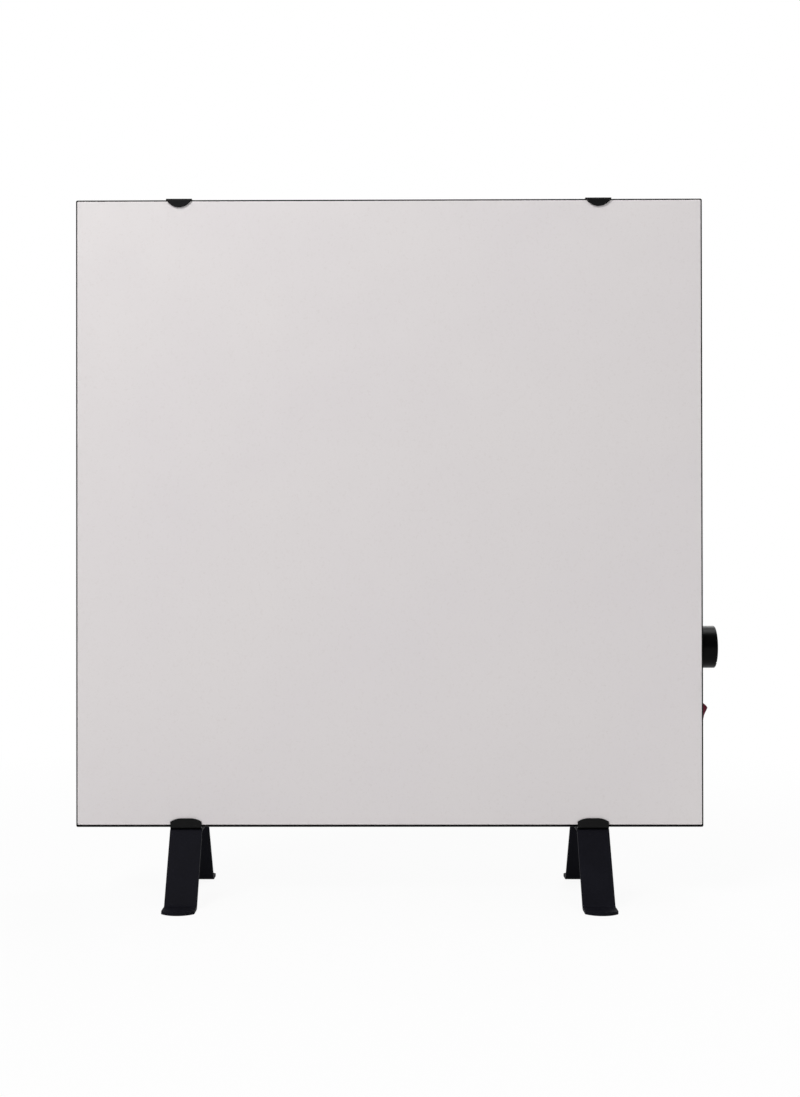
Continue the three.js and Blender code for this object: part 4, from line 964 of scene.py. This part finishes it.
toe = round_end(FOOT_HALF, TOE_BULGE)
for side in SIDES:
    low, high = node_box(f"foot_{side}")
    toe_z, bridge_z = low.z + FOOT_SHEET / 2, high.z - FOOT_SHEET / 2
    front_bend, rear_bend = low.y + FRONT_TOE, high.y - REAR_TOE
    foot_corners = [
        (low.y, toe_z),
        (front_bend, toe_z),
        (front_bend + FRONT_SPREAD, bridge_z),
        (rear_bend - REAR_SPREAD, bridge_z),
        (rear_bend, toe_z),
        (high.y, toe_z),
    ]
    line = bent_line(foot_corners, FOOT_BEND, BEND_STEPS)
    rings = strip_rings((low.x + high.x) / 2, line, FOOT_SHEET, FOOT_HALF, toe, toe)
    foot = strip_piece(f"strip_foot_{side}", rings, foot_coat, FOOT_EDGE)
    cut(foot, [bore(name, 2, bridge_z, FOOT_HOLE) for name in FOOT_SCREWS[side]])
    weigh_normals(foot)
    hand_over(foot, "heater", "foot_paint", f"foot_{side}")

# %% [markdown]
# ## Knob
# The knob is a moulded cup with a domed crown and a hub that grips the flat of the shaft. Its profile is turned
# about X: a broken lower edge, a plain wall, a rounded shoulder that meets the dome without a crease. A bevelled
# cylinder would show a crease there in its highlight. The pointer is a groove filled with white ink. It is at
# the lower front at rest and turns clockwise over the top.

# %% Turning knob
KNOB_RADIUS = (knob_high.z - knob_low.z) / 2
KNOB_REACH, KNOB_WALL_GAP = knob_high.x - half_width, knob_low.x - half_width
DOME, SHOULDER = 1.1, 0.6
SKIRT_WALL, CROWN_WALL, HUB_RADIUS, HUB_RECESS = 2.2, 3.4, 6.5, 1.4
HUB_EDGE, HUB_FILLET, CROWN_FILLET = 0.4, 0.8, 1.2
SKIRT_INSIDE, SKIRT_OUTSIDE = 0.3, 0.4
SOCKET_RADIUS, SOCKET_FLAT, SOCKET_DEPTH = 3.2, 2.4, 10.8
POINTER_WIDTH, POINTER_DEPTH, POINTER_START = 1.6, 0.7, 9.0
DOME_STEPS, KNOB_STEPS, SOCKET_STEPS = 10, 96, 32

slope_angle = math.atan(2 * DOME / KNOB_RADIUS)
shoulder_middle = KNOB_RADIUS - SHOULDER
meet = shoulder_middle + SHOULDER * math.sin(slope_angle)
shoulder_height = KNOB_REACH - DOME * (meet / KNOB_RADIUS) ** 2 - SHOULDER * math.cos(slope_angle)
dome_line = [
    (meet * share, KNOB_REACH - DOME * (meet * share / KNOB_RADIUS) ** 2)
    for share in (1 - step / DOME_STEPS for step in range(1, DOME_STEPS + 1))
]
hub_height = KNOB_WALL_GAP + HUB_RECESS
cavity_top = KNOB_REACH - DOME - CROWN_WALL
cavity_radius = KNOB_RADIUS - SKIRT_WALL
profile = [
    (0, hub_height),
    *quarter((HUB_RADIUS - HUB_EDGE, hub_height + HUB_EDGE), HUB_EDGE, 270, 360, 3),
    *quarter((HUB_RADIUS + HUB_FILLET, cavity_top - HUB_FILLET), HUB_FILLET, 180, 90, 4),
    *quarter((cavity_radius - CROWN_FILLET, cavity_top - CROWN_FILLET), CROWN_FILLET, 90, 0, 5),
    *quarter((cavity_radius + SKIRT_INSIDE, KNOB_WALL_GAP + SKIRT_INSIDE), SKIRT_INSIDE, 180, 270, 3),
    *quarter((KNOB_RADIUS - SKIRT_OUTSIDE, KNOB_WALL_GAP + SKIRT_OUTSIDE), SKIRT_OUTSIDE, 270, 360, 4),
    *quarter((shoulder_middle, shoulder_height), SHOULDER, 0, 90 - math.degrees(slope_angle), 8),
    *dome_line,
]
knob = piece_from("turning_knob", lathe(profile, through_x, knob_centre, KNOB_STEPS), black_polyamide)

flat = math.degrees(math.acos(SOCKET_FLAT / SOCKET_RADIUS))
socket_line = quarter((0, 0), SOCKET_RADIUS, 90 + flat, 450 - flat, SOCKET_STEPS)
rings = [
    [Vector((half_width + reach, knob_centre.y + y, knob_centre.z + z)) for y, z in socket_line]
    for reach in (0, SOCKET_DEPTH)
]
socket = skinned("socket", rings, black_polyamide)
groove = block(
    "groove",
    (KNOB_REACH - DOME - POINTER_DEPTH, -POINTER_WIDTH / 2, POINTER_START),
    (KNOB_REACH + DOME, POINTER_WIDTH / 2, 2 * KNOB_RADIUS),
    white_print,
)
carry(groove, Matrix.Translation(knob_centre) @ Matrix.Rotation(math.radians(-DIAL_START), 4, "X"))
cut(knob, [socket])
cut(knob, [groove], painted=True)
weigh_normals(knob)
hand_over(knob, "knob", "black_plastic", "thermostat_knob")

# %% [markdown]
# ## Switch
# The switch is a moulded housing that snaps into a slot in the wall. Its frame stands 2 mm proud with rounded
# edges, and the rocker tilts in the cavity on two pins. Two blades leave its back. Three blocks and a cut would
# make it too, but the body, the frame and the cavity are rings on one skin, from the back to the front and into
# the cavity again, so every edge has its own rounding.

# %% Switch housing
BODY_CORNER, BODY_EDGE = 0.6, 0.4
BEZEL_CORNER, BEZEL_EDGE = 1.2, 0.6
CAVITY_SIDE, CAVITY_END, CAVITY_DEPTH = 1.3, 0.8, 9.0
CAVITY_CORNER, CAVITY_EDGE = 0.4, 0.25
TIGHTEST_MOULDED, MOULDED_STEPS = 0.2, 6
PIVOT_DEPTH, PIN_RADIUS = 1.6, 1.1
BLADE_LENGTH = 7.0
body_back, front = housing_low.x + BLADE_LENGTH, housing_high.x


def wall_rings(half_y, half_z, corner, places):
    """Rounded rectangles parallel to the right wall, for (inset, x) pairs."""
    rings = []
    for inset, x in places:
        radius = max(corner - inset, TIGHTEST_MOULDED)
        outline = rounded_rectangle(half_y - inset, half_z - inset, radius, MOULDED_STEPS)
        rings.append([Vector((x, switch_centre.y + y, switch_centre.z + z)) for y, z in outline])
    return rings


body = [(BODY_EDGE, body_back), (0, body_back + BODY_EDGE), (0, half_width)]
bezel = [(0, half_width), *quarter((BEZEL_EDGE, front - BEZEL_EDGE), BEZEL_EDGE, 180, 90, 5)]
cavity = [*quarter((-CAVITY_EDGE, front - CAVITY_EDGE), CAVITY_EDGE, 90, 0, 4), (0, half_width - CAVITY_DEPTH)]
rings = [
    *wall_rings(switch_half_y, switch_half_z, BODY_CORNER, body),
    *wall_rings(switch_half_y + BEZEL_SIDE, switch_half_z + BEZEL_END, BEZEL_CORNER, bezel),
    *wall_rings(switch_half_y - CAVITY_SIDE, switch_half_z - CAVITY_END, CAVITY_CORNER, cavity),
]
housing = skinned("switch_frame", rings, black_polyamide)
pivot = Vector((half_width - PIVOT_DEPTH, switch_centre.y, switch_centre.z))
cut(housing, [rod("hole", pivot, (0, 1, 0), PIN_RADIUS + SEAT_GAP, switch_half_y + CUT_REACH)])
weigh_normals(housing)
hand_over(housing, "heater", "black_plastic", "switch_housing")

# %% Switch blades
BLADE_WIDTH, BLADE_SHEET, BLADE_OFFSET, BLADE_SEAT = 5.0, 0.8, 4.5, 0.5
TIP_LENGTH, TIP_CUT, BLADE_EDGE = 1.4, 1.6, 0.12

half_blade = BLADE_WIDTH / 2
blade_line = [
    (body_back + BLADE_SEAT, half_blade),
    (housing_low.x + TIP_LENGTH, half_blade),
    (housing_low.x, half_blade - TIP_CUT),
    (housing_low.x, TIP_CUT - half_blade),
    (housing_low.x + TIP_LENGTH, -half_blade),
    (body_back + BLADE_SEAT, -half_blade),
]
bm = bmesh.new()
for middle_z in (switch_centre.z - BLADE_OFFSET, switch_centre.z + BLADE_OFFSET):
    skin(bm, [
        [Vector((x, switch_centre.y + y, middle_z + z)) for x, z in blade_line]
        for y in (-BLADE_SHEET / 2, BLADE_SHEET / 2)
    ])
blades = piece_from("switch_blades", bm, bright_zinc)
soften(blades, BLADE_EDGE, segments=2)
hand_over(blades, "heater", "zinc_screw")

# %% [markdown]
# The rocker's ends are round about its pins, so that it clears the cavity. Its top is two slopes that meet in
# the middle, the lower one flatter, and each has a plain on or off mark in white ink: a bar and a ring. A bent
# block wouldn't stay clear of the walls as it tilts. So the section is drawn once about the pins, carried
# across the rocker's width and tilted to its rest.

# %% Rocker cap
ROCKER_WIDTH, ROCKER_TILT, ROCKER_RADIUS, SKIRT_ANGLE = 9.6, 14.5, 11.3, 92.0
MIDDLE_RISE, UPPER_RISE, LOWER_RISE = 5.1, 6.6, 5.7
STEM_POINTS = [(PIVOT_DEPTH - 2.2, 3.2), (PIVOT_DEPTH - 6.0, 1.8)]
ROCKER_EDGE, PIN_SEAT = 0.55, 0.9


def rocker_half(end_rise):
    """One half of the rocker's section: its corner, its round end and its stem."""
    corner_angle = math.acos((PIVOT_DEPTH + end_rise) / ROCKER_RADIUS)
    return quarter((0, 0), ROCKER_RADIUS, math.degrees(corner_angle), SKIRT_ANGLE, 8) + STEM_POINTS


upper, lower = rocker_half(UPPER_RISE), rocker_half(LOWER_RISE)
rocker_line = [(PIVOT_DEPTH + MIDDLE_RISE, 0), *upper, *[(rise, -z) for rise, z in reversed(lower)]]
to_rocker = Matrix.Translation(pivot) @ Matrix.Rotation(math.radians(ROCKER_TILT), 4, "Y")
rings = [
    [to_rocker @ Vector((rise, y, z)) for rise, z in rocker_line]
    for y in (-ROCKER_WIDTH / 2, ROCKER_WIDTH / 2)
]
rocker = skinned("rocker_cap", rings, red_polycarbonate)
soften(rocker, ROCKER_EDGE, segments=4)
pin_half = switch_half_y - CAVITY_SIDE + PIN_SEAT
pins = rod("pins", pivot, (0, 1, 0), PIN_RADIUS, pin_half, red_polycarbonate)
union = rocker.modifiers.new("Pins", "BOOLEAN")
union.object, union.operation, union.solver = pins, "UNION", "EXACT"
settle(rocker)
bpy.data.objects.remove(pins)

# %% Marks of the rocker
MARK_DEPTH, MARK_PLACE = 0.15, 0.55
BAR_HALF, BAR_REACH = 0.35, 1.4
RING_OUTSIDE, RING_INSIDE, RING_STEPS = 1.5, 0.95, 40

bar = block("mark", (-MARK_DEPTH, -BAR_HALF, -BAR_REACH), (INK_OVER, BAR_HALF, BAR_REACH), white_print)
ring_line = [
    (RING_OUTSIDE, -MARK_DEPTH),
    (RING_OUTSIDE, INK_OVER),
    (RING_INSIDE, INK_OVER),
    (RING_INSIDE, -MARK_DEPTH),
]
ring = piece_from("mark", lathe(ring_line, through_x, (0, 0, 0), RING_STEPS), white_print)
top_middle = Vector((PIVOT_DEPTH + MIDDLE_RISE, 0, 0))
for mark, side, (corner_x, corner_z) in ((bar, 1, upper[0]), (ring, -1, lower[0])):
    spot = top_middle.lerp(Vector((corner_x, 0, side * corner_z)), MARK_PLACE)
    slope = math.atan2(corner_x - top_middle.x, corner_z)
    carry(mark, to_rocker @ Matrix.Translation(spot) @ Matrix.Rotation(side * slope, 4, "Y"))
cut(rocker, [bar, ring], painted=True)
hand_over(rocker, "rocker", "red_plastic", "switch_rocker")

# %% [markdown]
# ## One part at many points
# Screws and louvre hoods repeat, so one Geometry Nodes tree sets a part at every vertex of a piece. Its
# inputs are the part, the way that the part's Z axis leans, the largest random turn about it, the seed of
# those turns and the finish. A loop that copies objects would do as well, but here one number changes a whole
# set. The result is a plain mesh.

# %% Geometry Nodes: a part at each point
repeater = bpy.data.node_groups.new("Part at each point", "GeometryNodeTree")
for socket_name, kind in (
    ("Points", "NodeSocketGeometry"),
    ("Part", "NodeSocketObject"),
    ("Lean", "NodeSocketVector"),
    ("Largest turn", "NodeSocketFloat"),
    ("Seed", "NodeSocketInt"),
    ("Finish", "NodeSocketMaterial"),
):
    repeater.interface.new_socket(name=socket_name, in_out="INPUT", socket_type=kind)
repeater.interface.new_socket(name="Parts", in_out="OUTPUT", socket_type="NodeSocketGeometry")
given = add(repeater, "NodeGroupInput").outputs
part_info = add(repeater, "GeometryNodeObjectInfo", {"Object": given["Part"], "As Instance": True})
leaning = add(repeater, "FunctionNodeEulerToRotation", {0: given["Lean"]})
placed = add(
    repeater,
    "GeometryNodeInstanceOnPoints",
    {"Points": given["Points"], "Instance": part_info.outputs["Geometry"], "Rotation": leaning.outputs[0]},
)
most = add(repeater, "ShaderNodeCombineXYZ", {"Z": given["Largest turn"]})
random_turn = add(
    repeater,
    "FunctionNodeRandomValue",
    {0: (0, 0, 0), 1: most.outputs[0], "Seed": given["Seed"]},
    data_type="FLOAT_VECTOR",
)
own_turn = add(repeater, "FunctionNodeEulerToRotation", {0: random_turn.outputs[0]})
turned = add(
    repeater,
    "GeometryNodeRotateInstances",
    {"Instances": placed.outputs[0], "Rotation": own_turn.outputs[0], "Local Space": True},
)
real = add(repeater, "GeometryNodeRealizeInstances", {0: turned.outputs[0]})
dressed = add(repeater, "GeometryNodeSetMaterial", {"Geometry": real.outputs[0], "Material": given["Finish"]})
add(repeater, "NodeGroupOutput", {0: dressed.outputs[0]})


def at_each_point(name, part, points, axis, finish, largest_turn=0.0, seed=1):
    """A piece that holds one part at every point, its Z axis along the given one."""
    mesh = bpy.data.meshes.new(name)
    mesh.from_pydata([TO_FRAME @ Vector(point) for point in points], [], [])
    piece = put_in_scene(name, mesh)
    modifier = piece.modifiers.new("Part at each point", "NODES")
    modifier.node_group = repeater
    lean = Vector((0, 0, 1)).rotation_difference(Vector(axis)).to_euler()
    inputs = {"Part": part, "Lean": tuple(lean), "Largest turn": largest_turn, "Seed": seed, "Finish": finish}
    for item in repeater.interface.items_tree:
        if item.in_out == "INPUT" and item.name in inputs:
            modifier[item.identifier] = inputs[item.name]
    settle(piece, reshade=False)
    bpy.data.objects.remove(part)
    return piece


# %% [markdown]
# Screws have a pan head with a rounded edge, a cross recess and a shank with thread ridges. The thread could
# be a helix, but it sits in its hole, so rings of the same pitch in one turned profile do. No two recesses point
# the same way, as on a real appliance.

# %% Screws
THREAD_PITCH, THREAD_DEPTH, THREAD_START = 1.0, 0.25, 0.6
NECK_LENGTH, HEAD_CHAMFER = 0.3, 0.2
CROWN_HEIGHT, CROWN_RADIUS, CROWN_FLAT, CROWN_END = 0.75, 0.4, 0.35, 75
RECESS_HALF, RECESS_WIDTH, RECESS_DEPTH, RECESS_OVER = 0.52, 0.17, 0.55, 1
FLOOR_TAPER, MOUTH_TAPER = 0.75, 1.15


def screw_part(head_radius, head_height, shank_radius, shank_length, finish):
    """A cross-head screw with its head's seat at the origin and its head along Z."""
    root = shank_radius - THREAD_DEPTH
    ridges = []
    for turn in range(int(shank_length / THREAD_PITCH) - 1):
        base = -shank_length + THREAD_START + turn * THREAD_PITCH
        ridges += [(root, base), (shank_radius, base + THREAD_PITCH / 2)]
    edge = min(head_height * CROWN_HEIGHT, head_radius * CROWN_RADIUS)
    profile = [
        (0, -shank_length),
        (root - THREAD_DEPTH, -shank_length),
        *ridges,
        (root, -NECK_LENGTH),
        (shank_radius, 0),
        (head_radius - HEAD_CHAMFER, 0),
        (head_radius, HEAD_CHAMFER),
        *quarter((head_radius - edge, head_height - edge), edge, 0, CROWN_END, 6),
        (head_radius * CROWN_FLAT, head_height),
        (0, head_height),
    ]
    part = piece_from("screw", lathe(profile, (0, 0, 1), (0, 0, 0)), finish, MILLIMETRES)
    reach, wide = head_radius * RECESS_HALF, head_radius * RECESS_WIDTH
    arms = []
    for half_x, half_y in ((reach, wide), (wide, reach)):
        bm = bmesh.new()
        bmesh.ops.create_cube(bm, size=1)
        for vert in bm.verts:
            taper, height = MOUTH_TAPER, head_height + RECESS_OVER
            if vert.co.z < 0:
                taper, height = FLOOR_TAPER, head_height * (1 - RECESS_DEPTH)
            vert.co = Vector((2 * vert.co.x * half_x * taper, 2 * vert.co.y * half_y * taper, height))
        arms.append(piece_from("arm", bm, finish, MILLIMETRES))
    cut(part, arms)
    return part


def screw_set(name, names, axis, sizes, slot, seed):
    """All screws of one kind as one piece, at the seats of their CAD nodes. Sizes are as in screw_part."""
    axis = Vector(axis)
    head_height = sizes[1]
    seats = []
    for node_name in names:
        low, high = node_box(node_name)
        middle = node_middle(node_name)
        seat = max(low.dot(axis), high.dot(axis)) - head_height
        seats.append(middle + axis * (seat - middle.dot(axis)))
    finish = finishes[slot]
    piece = at_each_point(name, screw_part(*sizes, finish), seats, axis, finish, math.pi, seed)
    hand_over(piece, "heater", slot, *names)


foot_screws = FOOT_SCREWS["left"] + FOOT_SCREWS["right"]
screw_set("cover_screws", COVER_SCREWS, (0, 1, 0), (3.6, 2.0, 1.7, 7.0), "black_screw", 3)
screw_set("foot_screws", foot_screws, (0, 0, -1), (4.6, 2.8, 2.5, 11.0), "black_screw", 8)
screw_set("neck_screws", NECK_SCREWS, (1, 0, 0), (3.5, 1.8, 1.9, 7.0), "zinc_screw", 5)

# %% [markdown]
# ## Back cover
# The cover is one flat sheet with 49 openings. Booleans could cut them one after another, but a filled curve
# takes all slots and holes at once, and gets its thickness and its fine broken edges from its own extrusion and
# bevel.

# %% Louvred cover
cover_low, cover_high = node_box("back_cover")
COVER_SHEET = cover_high.y - cover_low.y
COVER_CORNER, COVER_EDGE = 6.0, 0.2
SLOT_LENGTH, SLOT_WIDTH = 70.0, 5.0
LOUVRE_COLUMNS, LOUVRE_ROWS, PITCH_X, PITCH_Z, BANK_HEIGHT = 5, 4, 100.0, 14.0, 205.0
GLAND_HOLE = 8.1
SLOT_FLAT = 0.01
SCREW_HOLE_STEPS, GLAND_HOLE_STEPS = 24, 48
gland_centre = node_middle("cable_gland")


def circle(middle, radius, steps):
    """Points of a round hole in the cover."""
    return quarter((middle.x, middle.z), radius, 0, 360 - 360 / steps, steps - 1)


slots = [
    ((column - (LOUVRE_COLUMNS - 1) / 2) * PITCH_X, bank * BANK_HEIGHT + (row - (LOUVRE_ROWS - 1) / 2) * PITCH_Z)
    for bank in (-1, 1)
    for row in range(LOUVRE_ROWS)
    for column in range(LOUVRE_COLUMNS)
]
slot_line = rounded_rectangle(SLOT_LENGTH / 2, SLOT_WIDTH / 2, SLOT_WIDTH / 2 - SLOT_FLAT, 6)
outlines = [rounded_rectangle(cover_high.x, cover_high.z, COVER_CORNER)]
outlines += [[(x + u, z + v) for u, v in slot_line] for x, z in slots]
outlines += [circle(node_middle(name), COVER_HOLE, SCREW_HOLE_STEPS) for name in COVER_SCREWS]
outlines.append(circle(gland_centre, GLAND_HOLE, GLAND_HOLE_STEPS))

sheet_curve = bpy.data.curves.new("cover_line", "CURVE")
sheet_curve.dimensions = "2D"
sheet_curve.fill_mode = "BOTH"
sheet_curve.extrude = COVER_SHEET / 2 - COVER_EDGE
sheet_curve.bevel_depth = COVER_EDGE
sheet_curve.bevel_resolution = 1
sheet_curve.offset = -COVER_EDGE
for outline in outlines:
    spline = sheet_curve.splines.new("POLY")
    spline.points.add(len(outline) - 1)
    for point, (u, v) in zip(spline.points, outline):
        point.co = (u, v, 0, 1)
    spline.use_cyclic_u = True
drawn = put_in_scene("cover_line", sheet_curve)
sheet_mesh = bpy.data.meshes.new_from_object(drawn.evaluated_get(bpy.context.evaluated_depsgraph_get()))
bpy.data.objects.remove(drawn)
upright = Matrix.Translation((0, casing_depth + COVER_SHEET / 2, 0)) @ Matrix.Rotation(math.radians(90), 4, "X")
bm = bmesh.new()
bm.from_mesh(sheet_mesh)
bm.transform(upright)
cover = piece_from("louvred_cover", bm, powder_coat)
weigh_normals(cover)
hand_over(cover, "heater", "black_paint", "back_cover")

# %% [markdown]
# Over each slot stands a pressed hood, open at the bottom, so that warm air leaves and nothing drops in. Half
# an ellipsoid would be too pointed, because a pressed hood is full over most of its length. So its sections are
# quarter ellipses that shrink late towards both ends. The node tree sets one at every slot.

# %% Louvre hoods
HOOD_HALF, HOOD_RISE, HOOD_SHEET = 36.5, 4.0, 0.9
HOOD_ABOVE, HOOD_BELOW = 4.4, 2.3
OUTER_SINK, INNER_SINK, LOWEST_INSIDE = 0.1, 0.3, 0.4
HOOD_STEPS, HOOD_ARC, HOOD_FULLNESS = 28, 8, 5

reach = HOOD_ABOVE + HOOD_BELOW
arc = [math.pi / 2 * part / HOOD_ARC for part in range(HOOD_ARC + 1)]
rings = []
for step in range(HOOD_STEPS + 1):
    share = -math.cos(math.pi * step / HOOD_STEPS)
    rise = HOOD_RISE * (1 - abs(share) ** HOOD_FULLNESS) ** 0.5
    inner_x, inner_reach = share * (HOOD_HALF - HOOD_SHEET), reach - HOOD_SHEET
    inner_rise = max(rise - HOOD_SHEET, -LOWEST_INSIDE)
    outer = [
        Vector((share * HOOD_HALF, HOOD_BELOW - reach * math.cos(a), rise * math.sin(a) - OUTER_SINK))
        for a in arc
    ]
    inner = [
        Vector((inner_x, HOOD_BELOW - inner_reach * math.cos(a), inner_rise * math.sin(a) - INNER_SINK))
        for a in arc
    ]
    rings.append(outer + inner[::-1])
hood = skinned("hood", rings, powder_coat, matrix=MILLIMETRES)
spots = [(x, cover_high.y, z) for x, z in slots]
hoods = at_each_point("louvre_hoods", hood, spots, (0, 1, 0), powder_coat)
hand_over(hoods, "heater", "black_paint")

# %% [markdown]
# ## Cable gland
# The gland is moulded: a six-sided flange against the cover and a dome nut with grip ribs round its bore. A
# prism, a turned dome and twelve cut ribs would have to be joined. One skin does it, from rings whose radius
# follows a hexagon on the flange and a ribbed circle on the nut.

# %% Gland
GLAND_BORE, GLAND_THREAD, GLAND_FLANGE, FLANGE_HEIGHT = 4.0, 7.8, 11.0, 4.0
DOME_RADIUS, NOSE_RADIUS, GLAND_RISE, THREAD_LENGTH = 9.0, 6.5, 13.0, 9.0
THREAD_CHAMFER, FLANGE_BREAK, FLANGE_DROP, FLANGE_SLOPE = 0.5, 0.3, 0.5, 0.6
NUT_STEP, NUT_BREAK, RIBS_DOWN, SHOULDER_DOWN, SHOULDER_IN = 0.2, 0.3, 4.6, 3.4, 0.6
NOSE_OUT, NOSE_DOWN, MOUTH_ROUND = 0.9, 1.0, 0.4
HEXAGON_CUT = 0.985
RIB_COUNT, RIB_DEPTH, GLAND_STEPS = 12, 0.45, 120


def hexagon(radius, angle):
    """How far a hexagon with trimmed corners reaches in a direction."""
    within = math.fmod(angle, math.pi / 3) - math.pi / 6
    return min(radius * math.cos(math.pi / 6) / math.cos(within), radius * HEXAGON_CUT)


def ribbed(radius, angle):
    """How far a ribbed circle reaches in a direction."""
    return radius - RIB_DEPTH * max(math.cos(RIB_COUNT * angle), 0) ** 0.5


def plain(radius, angle):
    """A circle reaches as far in every direction."""
    return radius


thread_places = [
    (GLAND_BORE, -THREAD_LENGTH, plain),
    (GLAND_THREAD - THREAD_CHAMFER, -THREAD_LENGTH, plain),
    (GLAND_THREAD, -THREAD_LENGTH + THREAD_CHAMFER, plain),
    (GLAND_THREAD, 0, plain),
]
flange_places = [
    (GLAND_FLANGE - FLANGE_BREAK, 0, hexagon),
    (GLAND_FLANGE, FLANGE_BREAK, hexagon),
    (GLAND_FLANGE, FLANGE_HEIGHT - FLANGE_DROP, hexagon),
    (GLAND_FLANGE - FLANGE_SLOPE, FLANGE_HEIGHT, hexagon),
]
nut_places = [
    (DOME_RADIUS - NUT_STEP, FLANGE_HEIGHT, plain),
    (DOME_RADIUS, FLANGE_HEIGHT + NUT_BREAK, ribbed),
    (DOME_RADIUS, GLAND_RISE - RIBS_DOWN, ribbed),
    (DOME_RADIUS - SHOULDER_IN, GLAND_RISE - SHOULDER_DOWN, ribbed),
    (NOSE_RADIUS + NOSE_OUT, GLAND_RISE - NOSE_DOWN, plain),
    (NOSE_RADIUS, GLAND_RISE, plain),
    (GLAND_BORE + MOUTH_ROUND, GLAND_RISE, plain),
    (GLAND_BORE, GLAND_RISE - MOUTH_ROUND, plain),
]
rings = []
for radius, height, outline in thread_places + flange_places + nut_places:
    ring = []
    for step in range(GLAND_STEPS):
        angle = 2 * math.pi * step / GLAND_STEPS
        reach = outline(radius, angle)
        across, up = reach * math.cos(angle), reach * math.sin(angle)
        ring.append(Vector((gland_centre.x + across, cover_high.y + height, gland_centre.z + up)))
    rings.append(ring)
gland = skinned("gland_and_dome_nut", rings, black_polyamide, closed=True)
weigh_normals(gland)
hand_over(gland, "heater", "black_plastic", "cable_gland")
